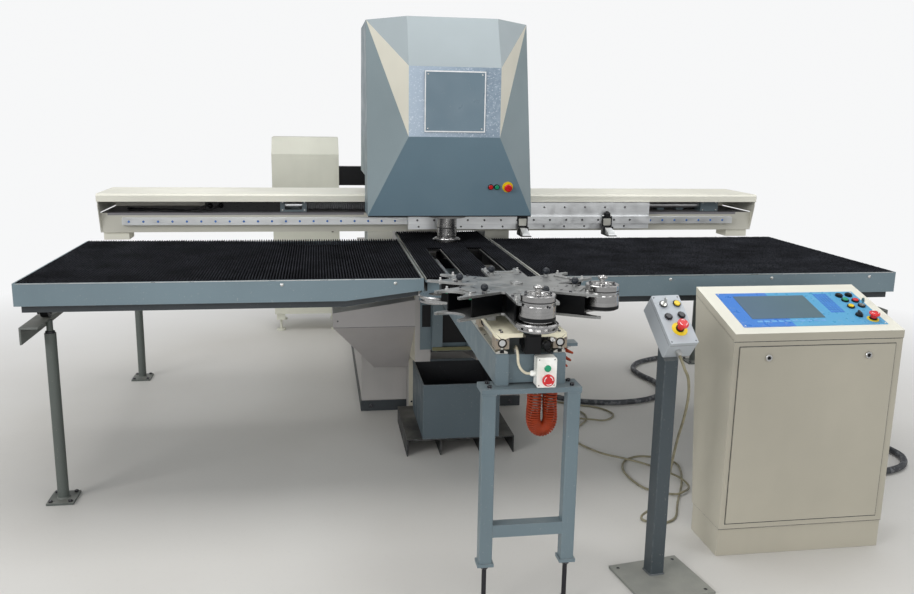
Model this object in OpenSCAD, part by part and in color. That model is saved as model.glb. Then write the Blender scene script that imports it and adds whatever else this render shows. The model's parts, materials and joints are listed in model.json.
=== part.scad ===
// Turret punch press with rotary tool changer, brush tables and control desk.
// Millimetres. The origin is on the floor under the punch axis.
// +X is to the right, +Y to the rear, +Z up.

/* [Punch head] */
// Diameter of the round punch holder
punch_d = 106; // [96:1:116]
// Diameter of the stripper flange at the end of the holder
flange_d = 146; // [130:1:160]
// Height of the flange underside above the floor
flange_z = 989; // [988:1:992]
// Running clearance round the punch holder
ram_fit = 0.06; // [0.03:0.01:0.1]
// Half width of the head cover at its lower edge
cover_half_w = 428; // [400:1:460]
// Height of the lower edge of the head cover
cover_bottom_z = 1132; // [1120:1:1140]
// Height of the top of the head cover
cover_top_z = 2112; // [2000:1:2200]
// Sheet thickness of the head cover
cover_wall = 4; // [3:0.5:6]

/* [Frame] */
// Half width of the base box
base_half_w = 452; // [420:1:480]
// Height of the base box
base_h = 330; // [300:5:360]
// Half width of the welded frame
frame_half_w = 200; // [180:1:215]
// Thickness of each cheek of the lower jaw
cheek_t = 80; // [60:1:90]
// Depth of the throat behind the punch axis
throat = 1680; // [1660:10:1800]
// Height of the whole frame
frame_top_z = 2050; // [1950:10:2080]
// Height of the top of the rail beds
bed_z = 770; // [740:5:775]

/* [Tables] */
// Height of the rim of the tables
rim_z = 980; // [978:0.5:981]
// Height of the brush tips above the rim
brush_rise = 4; // [2:0.5:4]
// Spacing of the brush rows
row_pitch = 28; // [20:1:36]
// Outer end of the left table, from the punch axis
left_end = 1850; // [1700:10:1900]
// Outer end of the right table, from the punch axis
right_end = 1904; // [1700:10:1950]
// Inner edge of both side tables, from the punch axis
table_inner = 249; // [246:1:260]
// Distance of the front edge from the punch axis
table_front = 1056; // [1000:1:1100]
// Distance of the rear edge of the side tables behind the punch axis
table_rear = 90; // [80:1:95]
// Height of the front panel
panel_h = 91; // [80:1:100]
// Sheet thickness of the table frames
panel_t = 6; // [4:0.5:8]
// Diameter of the table wheels
wheel_d = 76; // [60:1:76]
// Width of the slots in the middle table
slot_w = 68; // [60:1:70]
// Distance of each slot centre from the punch axis
slot_x = 102; // [100:1:104]

/* [Cross beam] */
// Front face of the beam cover behind the punch axis
beam_front = 250; // [245:1:260]
// Depth of the beam
beam_depth = 420; // [400:5:430]
// Left end of the beam
beam_left = 1830; // [1750:10:1845]
// Right end of the beam
beam_right = 1890; // [1750:10:1900]
// Height of the underside of the beam
beam_z = 995; // [992:1:1000]
// Height of the top of the beam cover
beam_top_z = 1207; // [1195:1:1220]
// Height of the cross rail
rail_h = 42; // [36:1:46]
// Spacing of the screws in the cross rail
rail_pitch = 75; // [60:5:90]
// Width of a sheet clamp
clamp_w = 58; // [50:1:64]
// Distance of the first clamp from the punch axis
clamp_x = 464; // [440:1:480]
// Spacing of the two clamps
clamp_gap = 497; // [450:1:520]

/* [Tool changer] */
// Distance of the hub behind the front end of the guide beam
hub_back = 234; // [224:1:244]
// Radius of the circle of stations
station_r = 298; // [290:1:305]
// Number of stations
stations = 6; // [6:1:6]
// Diameter of a tool cassette
cassette_d = 116; // [110:1:120]
// Height of a tool cassette
cassette_h = 85; // [80:1:90]
// Diameter of a die ring
die_d = 136; // [130:1:140]
// Half width of an arm
arm_half_w = 70; // [66:1:74]
// Thickness of the fork plates
fork_t = 8; // [6:0.5:8]
// Half width of the fork opening
fork_gap = 52; // [50:0.5:54]
// Underside of the lower fork plate
lower_fork_z = 994; // [994:0.5:995]
// Underside of the upper fork plate
upper_fork_z = 1067; // [1064:0.5:1068]
// Width of the guide beam
guide_w = 236; // [230:1:240]
// Height of the guide beam
guide_h = 108; // [100:1:108]
// Top of the guide beam above the floor
guide_z = 890; // [888:0.5:891]
// Front end of the guide beam, from the punch axis
guide_front = 1913; // [1905:1:1920]
// Distance of each guide shaft from the middle
shaft_x = 96.5; // [95:0.5:98]
// Diameter of the guide shafts
shaft_d = 20; // [18:1:20]
// Running clearance in the bearing blocks
shaft_fit = 0.06; // [0.03:0.01:0.1]
// Width of the square tube of the stand
stand_tube = 45; // [40:1:50]

/* [Control desk] */
// Left side of the desk, from the punch axis
desk_x = 812; // [800:1:850]
// Width of the desk
desk_w = 677; // [640:1:700]
// Front of the desk, in front of the punch axis
desk_front = 1708; // [1690:1:1720]
// Depth of the desk at its top
desk_depth = 353; // [340:1:360]
// Height of the front edge of the desk top
desk_front_z = 885; // [870:1:900]
// Height of the plinth
plinth_h = 113; // [100:1:120]
// Slope of the desk top in degrees
desk_slope = 16.2; // [14:0.1:18]

/* [Pedestal] */
// Distance of the post to the right of the punch axis
post_x = 522; // [515:1:535]
// Distance of the post in front of the punch axis
post_y = 1796; // [1780:1:1810]
// Width of the square post
post_w = 54; // [50:1:58]
// Turn of the pedestal in degrees
post_turn = 9; // [0:1:12]
// Width of the switch box
box_w = 108; // [104:1:112]
// Length of the switch box
box_l = 210; // [206:1:214]
// Depth of the switch box
box_d = 80; // [75:1:85]
// Tilt of the switch box in degrees
box_tilt = 39.7; // [38:0.1:41]

/* [Hidden] */
$fn = 48;

// Colours
grey_blue = "#69808a";
ivory = "#e8e4d2";
base_grey = "#b4aea6";
dark_grey = "#3b4348";
steel = "#b9bcc0";
black = "#1c1d20";
brush_black = "#17181b";
desk_ivory = "#d5cfc0";
panel_blue = "#5fb0e0";

// Small seats and gaps
eps = 0.01;
gap = 0.3;
seam = 0.1;
sheet_z = rim_z + brush_rise;

// Frame
plinth_z = 60;
plinth_edge = 6;
base_front = 120;
base_rear = 2150;
foot_front = 80;
foot_half_w = 165;
chute_rear = base_front - 8;
jaw_front = 300;
jaw_top_z = 900;
jaw_low_z = 400;
arm_z = 1330;
arm_front = 60;
boss_d = 200;
boss_z = 1112;
seat_r = 62;
seat_depth = 60;
seat_block = 105;
seat_block_z = 640;
throat_corner = 120;
gland_len = 7;
bed_x0 = 265;
bed_x1 = 405;
bed_rear = 1640;
// Glands on the right side of the base: depth, height and diameter
cable_glands = [[270, 84, 20], [322, 120, 44]];

// Head cover corners: half width, depth, height
cov_a = [421, 80, cover_top_z];
cov_b = [229, -105, cover_top_z + 6];
cov_e = [230, -224, cover_top_z - 238];
cov_g = [230, -229, cover_bottom_z + 403];
cov_i = [cover_half_w, -134, cover_bottom_z];
cover_rear = 560;
cover_low_rear = 130;
cover_notch_z = 1320;

// Travelling rails
rail_bed_h = 28;
block_h = 34;
rail_gap = 0.3;
saddle_y0 = 290;
saddle_y1 = 620;

// Tables
deck_z = 940;
deck_t = 8;
brush_base = 18;
under_z = 859;
tip_w = 6;
taper_len = 322;
taper_h = 40;
outer_rail_z = 800;
rail_flange = 70;
rail_t = 7;
outer_rail_y0 = -1040;
outer_rail_y1 = 1050;
leg_front_y = -875;
leg_rear_y = 880;
leg_left = 72;
leg_right = 44;
leg_d = 46;
leg_top_z = 737;
stud_d = 26;
wheel_w = 30;
wheel_front_y = -855;
wheel_rear_y = 20;
mid_half = 241;
mid_rear = 390;
slot_rear = 235;
carrier_z = 962;
carrier_t = 8;
die_hole_r = 62;
die_side = 0.72 * die_hole_r + 1;
front_gap = 6;

// Cross beam
core_front = beam_front + 50;
core_top_z = 1100;
beam_foot = 130;
lip_z = 1165;
sheet_t = 4;
x_rail_z = 1056;
x_rail_t = 30;
x_rail_left = -1713;
x_rail_right = 1758;
car_left = -183;
car_right = 1225;
car_t = 22;
car_back = core_front - x_rail_t - 8;
screw_y = core_front + 95;
screw_z = 1133;
screw_d = 32;
motor_x = -1230;
bracket_x = -885;
bracket_len = 145;
bearing_x = 1590;
bearing_len = 110;
nut_x = 850;
bar_t = 22;
bar_z0 = 1045;
bar_z1 = 1085;
jaw_tip = 105;
jaw_pivot_y = 190;
jaw_pivot_z = 1012;

// Tool changer
guide_rear = jaw_front;
hub_y = guide_front - hub_back;
bracket_y = 45;
gland_back = 45;
hose_y = guide_front - 213;
hose_bracket_z = 858;
shaft_z = 926;
block_z0 = 906;
slide_z = 944;
slide_t = 14;
slide_len = 353;
bridge_z = sheet_z + 1.5;
hub_post_d = 40;
hub_fit = 0.05;
tip_r = station_r + 12;
groove_r = fork_gap - 0.5;
cassette_z = upper_fork_z - 51;
ring_z = lower_fork_z - 8;
ring_h = 26;
web_t = 6;
knob_r = 200;
knob_turn = 15;
stand_top_z = guide_z - guide_h;
stand_front = guide_front + 37;
stand_plate_t = 17;
stand_half_w = 164;
stand_foot_z = 170;
switch_z = stand_top_z + 54.3;

// Control desk
desk_back_foot = 233;
door_t = 5;
panel_x0 = desk_x + 53;
panel_w = 583;
panel_v0 = 40;
panel_v1 = 302;
panel_plate = 2;

// Push buttons: collar outside, cap, heights above the face
collar_d = 29;
collar_bore = 22.6;
collar_h = 6;
cap_d = 22;
cap_z = 3.6;
stop_plate_d = 56;
box_places = [[-22, 168], [30, 168], [-22, 113], [29, 117]];
desk_places = [[1372, 265], [1415, 268], [1377, 227], [1418, 222], [1372, 175], [1421, 181], [1367, 108]];
box_turn = 6;
box_shift = 24;
box_low_y = -66;
box_low_z = 895;
stop_cap_d = 40;

// Points of a rounded rectangle centred on the origin
function arc_points(cx, cy, r, a0, a1, n) =
    [for (i = [0:n]) let (a = a0 + (a1 - a0) * i / n) [cx + r * cos(a), cy + r * sin(a)]];
function rounded_points(w, h, r, n = 4) = concat(
    arc_points(w / 2 - r, h / 2 - r, r, 0, 90, n),
    arc_points(-w / 2 + r, h / 2 - r, r, 90, 180, n),
    arc_points(-w / 2 + r, -h / 2 + r, r, 180, 270, n),
    arc_points(w / 2 - r, -h / 2 + r, r, 270, 360, n));

// A box given by its low and high corners
module span(x0, x1, y0, y1, z0, z1) {
    translate([x0, y0, z0]) cube([x1 - x0, y1 - y0, z1 - z0]);
}

// The same child on both sides of the middle plane
module both_sides() {
    children();
    mirror([1, 0, 0]) children();
}

// A profile in Y and Z drawn along X from x0 to x1
module along_x(x0, x1) {
    translate([x0, 0, 0]) rotate([90, 0, 90]) linear_extrude(x1 - x0) children();
}

// A profile in X and Z drawn along Y from y0 to y1
module along_y(y0, y1) {
    translate([0, y1, 0]) rotate([90, 0, 0]) linear_extrude(y1 - y0) children();
}

// A round tube of constant thickness along a list of points
function unit(v) = v / norm(v);
function tangent(p, i) = unit(p[min(i + 1, len(p) - 1)] - p[max(i - 1, 0)]);
function side_of(t) = abs(t[2]) > 0.9 ? unit(cross(t, [0, 1, 0])) : unit(cross(t, [0, 0, 1]));
function spline(p, m) = [for (i = [0:len(p) - 2]) for (k = [0:m - 1])
    let (t = k / m, a = p[max(i - 1, 0)], b = p[i], c = p[i + 1], d = p[min(i + 2, len(p) - 1)])
    0.5 * (2 * b + (c - a) * t + (2 * a - 5 * b + 4 * c - d) * t * t
        + (3 * b - a - 3 * c + d) * t * t * t)];
function route(p, m) = concat(spline(p, m), [p[len(p) - 1]]);
module tube(p, d, sides = 8) {
    n = len(p);
    rings = [for (i = [0:n - 1]) let (t = tangent(p, i), s = side_of(t), u = cross(s, t))
        for (k = [0:sides - 1]) p[i] + d / 2 * (cos(360 * k / sides) * s + sin(360 * k / sides) * u)];
    walls = [for (i = [0:n - 2]) for (k = [0:sides - 1]) let (a = i * sides + k,
        b = i * sides + (k + 1) % sides) each [[a, b, b + sides], [a, b + sides, a + sides]]];
    polyhedron(rings, concat(walls, [[for (k = [sides - 1:-1:0]) k]],
        [[for (k = [0:sides - 1]) (n - 1) * sides + k]]), 4);
}

// Fixed collar of a push button on a face whose normal is +Z
module collar(h = collar_h) {
    difference() {
        cylinder(d = collar_d, h = h);
        translate([0, 0, -1]) cylinder(d = collar_bore, h = h + 2);
    }
}

// Moving cap of a push button
module cap() {
    translate([0, 0, cap_z]) cylinder(d = cap_d, h = 5);
    translate([0, 0, cap_z + 5]) cylinder(d1 = cap_d, d2 = cap_d - 4, h = 1.5);
}

// Fixed yellow plate and collar of an emergency stop
module stop_seat(plate_d) {
    cylinder(d = plate_d, h = 2);
    translate([0, 0, 2 - eps]) collar(collar_h);
}

// Moving mushroom head of an emergency stop on its stem
module stop_head(rise = 0) {
    translate([0, 0, 6]) cylinder(d = cap_d, h = 8 + rise);
    translate([0, 0, rise]) {
        translate([0, 0, 14 - eps]) cylinder(d1 = stop_cap_d - 8, d2 = stop_cap_d, h = 4);
        translate([0, 0, 18 - 2 * eps]) cylinder(d = stop_cap_d, h = 5);
        translate([0, 0, 23 - 3 * eps]) cylinder(d1 = stop_cap_d, d2 = stop_cap_d - 10, h = 3);
    }
}

// Turning core of a key switch with its key
module key_core() {
    translate([0, 0, cap_z]) cylinder(d = cap_d, h = 4);
    translate([-1, -4, cap_z + 4 - eps]) cube([2, 8, 10]);
    translate([-1, 0, cap_z + 22]) rotate([0, 90, 0]) cylinder(d = 20, h = 2);
}

// Places of the controls
head_lean = atan2(cov_i[1] - cov_g[1], cov_g[2] - cov_i[2]);
module on_head(x) {
    f = (1284 - cov_i[2]) / (cov_g[2] - cov_i[2]);
    translate([x, cov_i[1] + f * (cov_g[1] - cov_i[1]), 1284]) rotate([90 + head_lean, 0, 0]) children();
}
module on_changer_box(z) {
    translate([44, -guide_front - 45, z]) rotate([90, 0, 0]) children();
}
module on_desk(x, v) {
    translate([0, -desk_front, desk_front_z]) rotate([desk_slope, 0, 0]) translate([x, v, panel_plate])
        children();
}
module on_post() {
    translate([post_x, -post_y, 0]) rotate([0, 0, post_turn]) children();
}
module on_box(u, v) {
    translate([post_x, -post_y, 0]) rotate([0, 0, box_turn]) translate([box_shift, box_low_y, box_low_z])
        rotate([box_tilt, 0, 0]) translate([u, v, 0]) children();
}
function turned(p, a) = [p[0] * cos(a) - p[1] * sin(a), p[0] * sin(a) + p[1] * cos(a), p[2]];
function on_box_point(u, v, w) = [post_x, -post_y, 0]
    + turned([u + box_shift, box_low_y + v * cos(box_tilt) - w * sin(box_tilt),
        box_low_z + v * sin(box_tilt) + w * cos(box_tilt)], box_turn);
function on_box_down() = turned([0, -cos(box_tilt), -sin(box_tilt)], box_turn);

// Frame: base box with front foot, cheeks and seat block of the lower jaw, spine, upper arm and rail beds
module cheek() {
    polygon([[-jaw_front, jaw_low_z], [base_front, base_h + seam], [throat - seam, base_h + seam],
        [throat - seam, jaw_top_z], [-jaw_front, jaw_top_z]]);
}
module c_frame() {
    inner = frame_half_w - cheek_t;
    color(base_grey) {
        span(-base_half_w - plinth_edge, base_half_w + plinth_edge, base_front - 8, base_rear + 8, 0,
            plinth_z);
        span(-base_half_w, base_half_w, base_front, base_rear, plinth_z - eps, base_h);
        span(-foot_half_w, foot_half_w, -foot_front, base_front, 0, plinth_z);
        for (p = cable_glands) translate([base_half_w - eps, p[0], p[1]]) rotate([0, 90, 0])
            cylinder(d = p[2], h = gland_len);
        both_sides() along_x(inner, frame_half_w) cheek();
        difference() {
            span(-inner + seam, inner - seam, -seat_block, seat_block, seat_block_z, jaw_top_z);
            translate([0, 0, seat_block_z - 1]) cylinder(d = 90, h = jaw_top_z);
            translate([0, 0, jaw_top_z - seat_depth]) cylinder(r = seat_r + 0.1, h = seat_depth + 1);
        }
        span(-frame_half_w, frame_half_w, throat, base_rear, base_h + seam, arm_z - seam);
        along_x(-frame_half_w, frame_half_w) polygon([[throat - seam, arm_z - throat_corner],
            [throat - seam, arm_z - seam], [throat - throat_corner, arm_z - seam]]);
        difference() {
            union() {
                along_x(-frame_half_w, frame_half_w) polygon([
                    [base_rear, arm_z], [base_rear, frame_top_z - 120], [base_rear - 120, frame_top_z],
                    [-arm_front, frame_top_z], [-arm_front, arm_z + 60], [arm_front + 60, arm_z]]);
                translate([0, 0, boss_z]) cylinder(d = boss_d, h = arm_z + 80 - boss_z);
            }
            translate([0, 0, boss_z - 1]) cylinder(r = punch_d / 2 + ram_fit, h = 420);
        }
        both_sides() {
            span(bed_x0, bed_x1, base_front, bed_rear, base_h + seam, bed_z);
            span(frame_half_w + seam, bed_x0 - seam, 300, 1500, base_h + seam, 700);
        }
        span(-foot_half_w - 35, -foot_half_w - seam, 0, base_front - 8 - seam, 20, jaw_low_z + 250);
    }
}

// Folded sheet cover of the punch head with seven flat facets at the front
function cover_points(w, y, z, rear, low) = concat(
    [for (s = [-1, 1]) each [
        [s * (cov_a[0] - w), cov_a[1] + y, cov_a[2] - z], [s * (cov_b[0] - w / 2), cov_b[1] + y,
            cov_b[2] - z],
        [s * (cov_e[0] - w / 2), cov_e[1] + y, cov_e[2] - z / 2],
            [s * (cov_g[0] - w / 2), cov_g[1] + y, cov_g[2]],
        [s * (cov_i[0] - w), cov_i[1] + y, cov_i[2] - low],
        [s * (cov_i[0] - w), rear, cov_i[2] - low], [s * (cov_a[0] - w), rear, cov_a[2] - z]]]);
cover_faces = [[1, 2, 0], [2, 3, 0], [3, 4, 0], [4, 5, 0], [5, 6, 0],
    [9, 8, 7], [10, 9, 7], [11, 10, 7], [12, 11, 7], [13, 12, 7],
    [9, 2, 1], [8, 9, 1], [10, 3, 2], [9, 10, 2], [11, 4, 3], [10, 11, 3],
    [12, 5, 4], [11, 12, 4], [13, 6, 5], [12, 13, 5],
    [8, 1, 0], [7, 8, 0], [7, 0, 6], [13, 7, 6]];
module cover_notch(grow) {
    span(-500, 500, cover_low_rear - grow, cover_rear + 100, cover_bottom_z - 100, cover_notch_z + grow);
}
module head_cover() {
    color(grey_blue) difference() {
        union() {
            difference() {
                polyhedron(cover_points(0, 0, 0, cover_rear, 0), cover_faces, 4);
                difference() {
                    polyhedron(cover_points(cover_wall, cover_wall + 2, cover_wall,
                        cover_rear - cover_wall, -cover_wall), cover_faces, 4);
                    cover_notch(cover_wall);
                }
                cover_notch(0);
            }
            span(-60, 60, cov_e[1] + 1, -arm_front, 1700, 1740);
            both_sides() span(frame_half_w, cov_a[0] + 1, 300, 340, 1700, 1740);
        }
        span(-frame_half_w, frame_half_w, -arm_front, cover_rear + 100, arm_z, frame_top_z);
        translate([0, 0, cover_bottom_z - 10]) cylinder(r = boss_d / 2 + gap, h = 100);
    }
    color("gold") on_head(289) stop_seat(stop_plate_d);
    color(dark_grey) for (x = [200, 232]) on_head(x) collar();
}

// Lower tool seat under the punch axis: body and a ring of four segments
module die_holder() {
    bore_z = sheet_z - 60;
    color(steel) {
        difference() {
            union() {
                translate([0, 0, jaw_top_z - seat_depth]) cylinder(r = seat_r, h = seat_depth);
                translate([0, 0, jaw_top_z - eps]) cylinder(r = seat_r - 6, h = bore_z - seam - jaw_top_z);
            }
            translate([0, 0, jaw_top_z - seat_depth - 1]) cylinder(r = 35, h = 200);
        }
        for (a = [0:90:270]) rotate([0, 0, a]) translate([0, 0, bore_z]) linear_extrude(sheet_z - bore_z)
            intersection() {
                difference() {
                    circle(r = seat_r - 6);
                    circle(r = 44.5);
                }
                polygon([[seam, 0], [seat_r + seam, seat_r], [seat_r + seam, -seat_r]]);
            }
    }
}

// Two profiled rails for the travel of the cross beam
module y_rails() {
    color(steel) both_sides() translate([(bed_x0 + bed_x1) / 2, 0, bed_z])
        along_y(base_front + 15, bed_rear - 5)
        polygon([[-15, 0], [15, 0], [15, 8], [11, 12], [11, 17], [15, 21], [15, rail_bed_h],
            [-15, rail_bed_h], [-15, 21], [-11, 17], [-11, 12], [-15, 8]]);
}

// Middle table: slotted plate in seven pieces, rims, bearers and rear pads
module plate(x0, x1, y0, y1) {
    linear_extrude(carrier_t) difference() {
        translate([x0, y0]) square([x1 - x0, y1 - y0]);
        circle(r = die_hole_r);
    }
}
module middle_table() {
    front = -table_front + front_gap;
    inner = slot_x - slot_w / 2;
    outer = slot_x + slot_w / 2;
    color(dark_grey) {
        translate([0, 0, carrier_z]) {
            plate(-inner, inner, front, -slot_rear - seam);
            both_sides() plate(outer, mid_half, front, -slot_rear - seam);
            both_sides() plate(die_side + seam, mid_half, -slot_rear, mid_rear);
            plate(-die_side, die_side, -slot_rear, -die_side);
            plate(-die_side, die_side, die_side, mid_rear);
        }
        both_sides() {
            span(180, 230, front + 24, -jaw_front - seam, jaw_top_z + 10, carrier_z - seam);
            span(140, frame_half_w, -jaw_front, mid_rear - 20, jaw_top_z, carrier_z - seam);
            span(mid_half - 3, mid_half, front, mid_rear, carrier_z + carrier_t + seam, rim_z);
        }
    }
}

// Brush rows of the middle table as ridges along Y
function ridge_profile(x0, x1, pitch, base, top) = let (n = max(1, round((x1 - x0) / pitch)),
    p = (x1 - x0) / n)
    concat([[x0, 0]], [for (i = [0:n - 1]) each [[x0 + i * p + eps, base],
        [x0 + (i + 0.5) * p - tip_w / 2, top],
        [x0 + (i + 0.5) * p + tip_w / 2, top], [x0 + (i + 1) * p - eps, base]]], [[x1, 0]]);
module ridges(x0, x1, y0, y1, z, base, top, pitch) {
    translate([0, 0, z]) along_y(y0, y1) polygon(ridge_profile(x0, x1, pitch, base, top));
}
module middle_brush() {
    z = carrier_z + carrier_t;
    h = sheet_z - z;
    inner = slot_x - slot_w / 2 - 4;
    outer = slot_x + slot_w / 2 + 4;
    edge = mid_half - 4;
    color(brush_black) difference() {
        union() {
            ridges(-inner, inner, -table_front + front_gap + 4, -slot_rear, z, 4, h, 14);
            for (s = [-1, 1]) ridges(s > 0 ? outer : -edge, s > 0 ? edge : -outer,
                -table_front + front_gap + 4, -slot_rear, z, 4, h, 14);
            for (s = [-1, 1]) ridges(s > 0 ? die_side : -edge, s > 0 ? edge : -die_side,
                -slot_rear + 4, mid_rear - 2, z, 4, h, 14);
            ridges(-die_side + gap, die_side - gap, -slot_rear + 4, -die_side, z, 4, h, 14);
            ridges(-die_side + gap, die_side - gap, die_side, mid_rear - 2, z, 4, h, 14);
        }
        translate([0, 0, z - 1]) cylinder(r = die_hole_r + 2, h = h + 2);
    }
}

// One outer rail for the table wheels, an angle with its flange on top
module outer_rail(x, s) {
    translate([x, 0, 0]) {
        span(s > 0 ? 0 : -rail_flange, s > 0 ? rail_flange : 0, outer_rail_y0, outer_rail_y1,
            outer_rail_z - rail_t, outer_rail_z);
        span(s > 0 ? 0 : -rail_t, s > 0 ? rail_t : 0, outer_rail_y0, outer_rail_y1,
            outer_rail_z - rail_flange, outer_rail_z);
    }
}
module outer_rails() {
    color(base_grey) outer_rail(-left_end + 5, 1);
    color(base_grey) outer_rail(right_end - 5, -1);
}

// One leg: foot plate with four holes, tube and threaded stud
module rail_leg(x, y) {
    translate([x, y, 0]) {
        color(grey_blue) {
            linear_extrude(10) difference() {
                square([110, 130], center = true);
                for (sx = [-1, 1]) for (sy = [-1, 1]) translate([sx * 40, sy * 50]) circle(d = 12);
            }
            translate([0, 0, 10 - eps]) cylinder(d = leg_d, h = leg_top_z - 10);
        }
        color(black) translate([0, 0, leg_top_z - eps]) cylinder(d = stud_d,
            h = outer_rail_z - rail_t - leg_top_z + eps);
    }
}
module rail_legs() {
    for (y = [leg_front_y, leg_rear_y]) {
        rail_leg(-left_end + leg_left, y);
        rail_leg(right_end - leg_right, y);
    }
}

// Side table: panels with a tapered front, deck, cross bars, wheels and their brackets
// len is measured outwards from the inner edge; side is -1 for the left table
module side_table(len, side) {
    low = rim_z - panel_h;
    wheel_x = len - 57;
    mirror([side < 0 ? 1 : 0, 0, 0]) translate([table_inner, 0, 0]) {
        color(grey_blue) {
            along_y(-table_front, -table_front + panel_t) polygon([[0, rim_z], [0, low + taper_h],
                [taper_len, low], [len, low], [len, rim_z]]);
            span(0, panel_t + 2, -table_front + panel_t - eps, table_rear, deck_z - 30, rim_z);
            span(len - panel_t, len, -table_front + panel_t - eps, table_rear, low, rim_z);
            span(0, len, table_rear - panel_t, table_rear, low + taper_h, rim_z - 8);
            span(panel_t, len - panel_t + eps, -table_front + panel_t - eps, table_rear - panel_t + eps,
                deck_z, deck_z + deck_t);
        }
        color(dark_grey) {
            for (y = [-table_front + 25, table_rear - 65]) along_y(y, y + 40) polygon([[20, deck_z + eps],
                [20, under_z + 45], [taper_len, under_z], [len - 20, under_z], [len - 20, deck_z + eps]]);
            for (x = [taper_len, len / 2 + 100]) span(x, x + 40, -table_front + 65 - eps,
                table_rear - 65 + eps,
                under_z + 20, deck_z + eps);
            for (y = [wheel_front_y, wheel_rear_y]) translate([wheel_x, y, 0]) {
                for (s = [-1, 1]) span(s * 24 - 4, s * 24 + 4, -26, 26, outer_rail_z + 20, deck_z - seam);
                translate([-28, 0, outer_rail_z + wheel_d / 2]) rotate([0, 90, 0]) cylinder(d = 14, h = 56);
            }
        }
        color(black) for (y = [wheel_front_y, wheel_rear_y])
            translate([wheel_x - wheel_w / 2, y, outer_rail_z + wheel_d / 2]) rotate([0, 90, 0])
                cylinder(d = wheel_d - 0.6, h = wheel_w);
    }
}
module left_table() {
    side_table(left_end - table_inner, -1);
    table_arm(-1);
}
module right_table() {
    side_table(right_end - table_inner, 1);
    table_arm(1);
}

// Arm that bolts a side table to the saddle of the cross beam
module table_arm(side) {
    mirror([side < 0 ? 1 : 0, 0, 0]) color(grey_blue)
        span(bed_x0 + 10, bed_x1 - 10, table_rear - eps, saddle_y0, 880, deck_z);
}

// Brush rows of both side tables
module side_brushes() {
    color(brush_black) {
        ridges(-left_end + panel_t + 1, -table_inner - panel_t - 3, -table_front + panel_t + 1,
            table_rear - panel_t - 1,
            deck_z + deck_t, brush_base, sheet_z - deck_z - deck_t, row_pitch);
        ridges(table_inner + panel_t + 3, right_end - panel_t - 1, -table_front + panel_t + 1,
            table_rear - panel_t - 1,
            deck_z + deck_t, brush_base, sheet_z - deck_z - deck_t, row_pitch);
    }
}

// Cross beam: core box, end plates, back wall and saddles with rail blocks
module cross_beam() {
    rear = beam_front + beam_depth;
    x0 = -beam_left + sheet_t;
    x1 = beam_right - sheet_t;
    color(ivory) {
        span(x0 + seam, x1 - seam, core_front, rear, beam_z, core_top_z);
        span(x0 + seam, x1 - seam, rear - sheet_t, rear, core_top_z + seam, lip_z);
        for (x = [x0 - sheet_t, x1]) along_x(x, x + sheet_t) polygon([
            [core_front - 2, beam_z], [core_front + 5, core_top_z + 5], [rear, core_top_z + 5],
                [rear, lip_z],
            [beam_front + 6, lip_z], [beam_front + 6, lip_z - 20]]);
        for (x = [x0 + 6, x1 - beam_foot - 6]) span(x, x + beam_foot, core_front + 20,
            core_front + 20 + beam_foot,
            beam_z - 42, beam_z + eps);
    }
    color(grey_blue) both_sides() difference() {
        union() {
            span(bed_x0, bed_x1, saddle_y0, saddle_y1, bed_z + rail_bed_h + block_h - 20, beam_z + eps);
            for (y = [saddle_y0 + 10, saddle_y1 - 90]) span(bed_x0 + 25, bed_x1 - 25, y, y + 80,
                bed_z + 6, bed_z + rail_bed_h + block_h - 19);
        }
        translate([(bed_x0 + bed_x1) / 2, 0, bed_z]) along_y(saddle_y0 - 10, saddle_y1 + 10)
            polygon([[-15 - gap, -9], [15 + gap, -9], [15 + gap, 8], [11 + gap, 12], [11 + gap, 17],
                [15 + gap, 21], [15 + gap, rail_bed_h + gap], [-15 - gap, rail_bed_h + gap], [-15 - gap, 21],
                [-11 - gap, 17], [-11 - gap, 12], [-15 - gap, 8]]);
    }
}

// Folded cover along the top of the beam
module beam_cover() {
    rear = beam_front + beam_depth;
    color(ivory) along_x(-beam_left - 3, beam_right + 3) polygon([
        [beam_front, lip_z], [beam_front + sheet_t, lip_z], [beam_front + sheet_t, beam_top_z - 12],
        [beam_front + 14, beam_top_z - sheet_t], [rear - 10, beam_top_z - sheet_t], [rear - 10, lip_z + 14],
        [rear + 2, lip_z + 14], [rear + 2, beam_top_z - 8], [rear - 6, beam_top_z],
        [beam_front + 10, beam_top_z], [beam_front, beam_top_z - 10]]);
    color(ivory) for (x = [-beam_left - 3, beam_right]) along_x(x, x + 3)
        polygon([[beam_front + 2, lip_z + eps],
        [beam_front + 2, beam_top_z - 8], [rear, beam_top_z - 2], [rear, lip_z + eps]]);
}

// Hardened rail on the front of the beam, with screw holes
module x_rail() {
    color(steel) difference() {
        along_x(x_rail_left, x_rail_right) polygon([
            [core_front, x_rail_z - rail_h / 2], [core_front, x_rail_z + rail_h / 2],
            [core_front - 10, x_rail_z + rail_h / 2], [core_front - 14, x_rail_z + rail_h / 2 - 6],
            [core_front - 20, x_rail_z + rail_h / 2 - 6], [core_front - x_rail_t, x_rail_z + rail_h / 2 - 2],
            [core_front - x_rail_t, x_rail_z - rail_h / 2 + 2], [core_front - 20, x_rail_z - rail_h / 2 + 6],
            [core_front - 14, x_rail_z - rail_h / 2 + 6], [core_front - 10, x_rail_z - rail_h / 2]]);
        for (x = [x_rail_left + 35:rail_pitch:x_rail_right - 30])
            translate([x, core_front - x_rail_t - 1, x_rail_z]) rotate([-90, 0, 0])
                cylinder(d = 13, h = 9, $fn = 24);
    }
}

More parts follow.
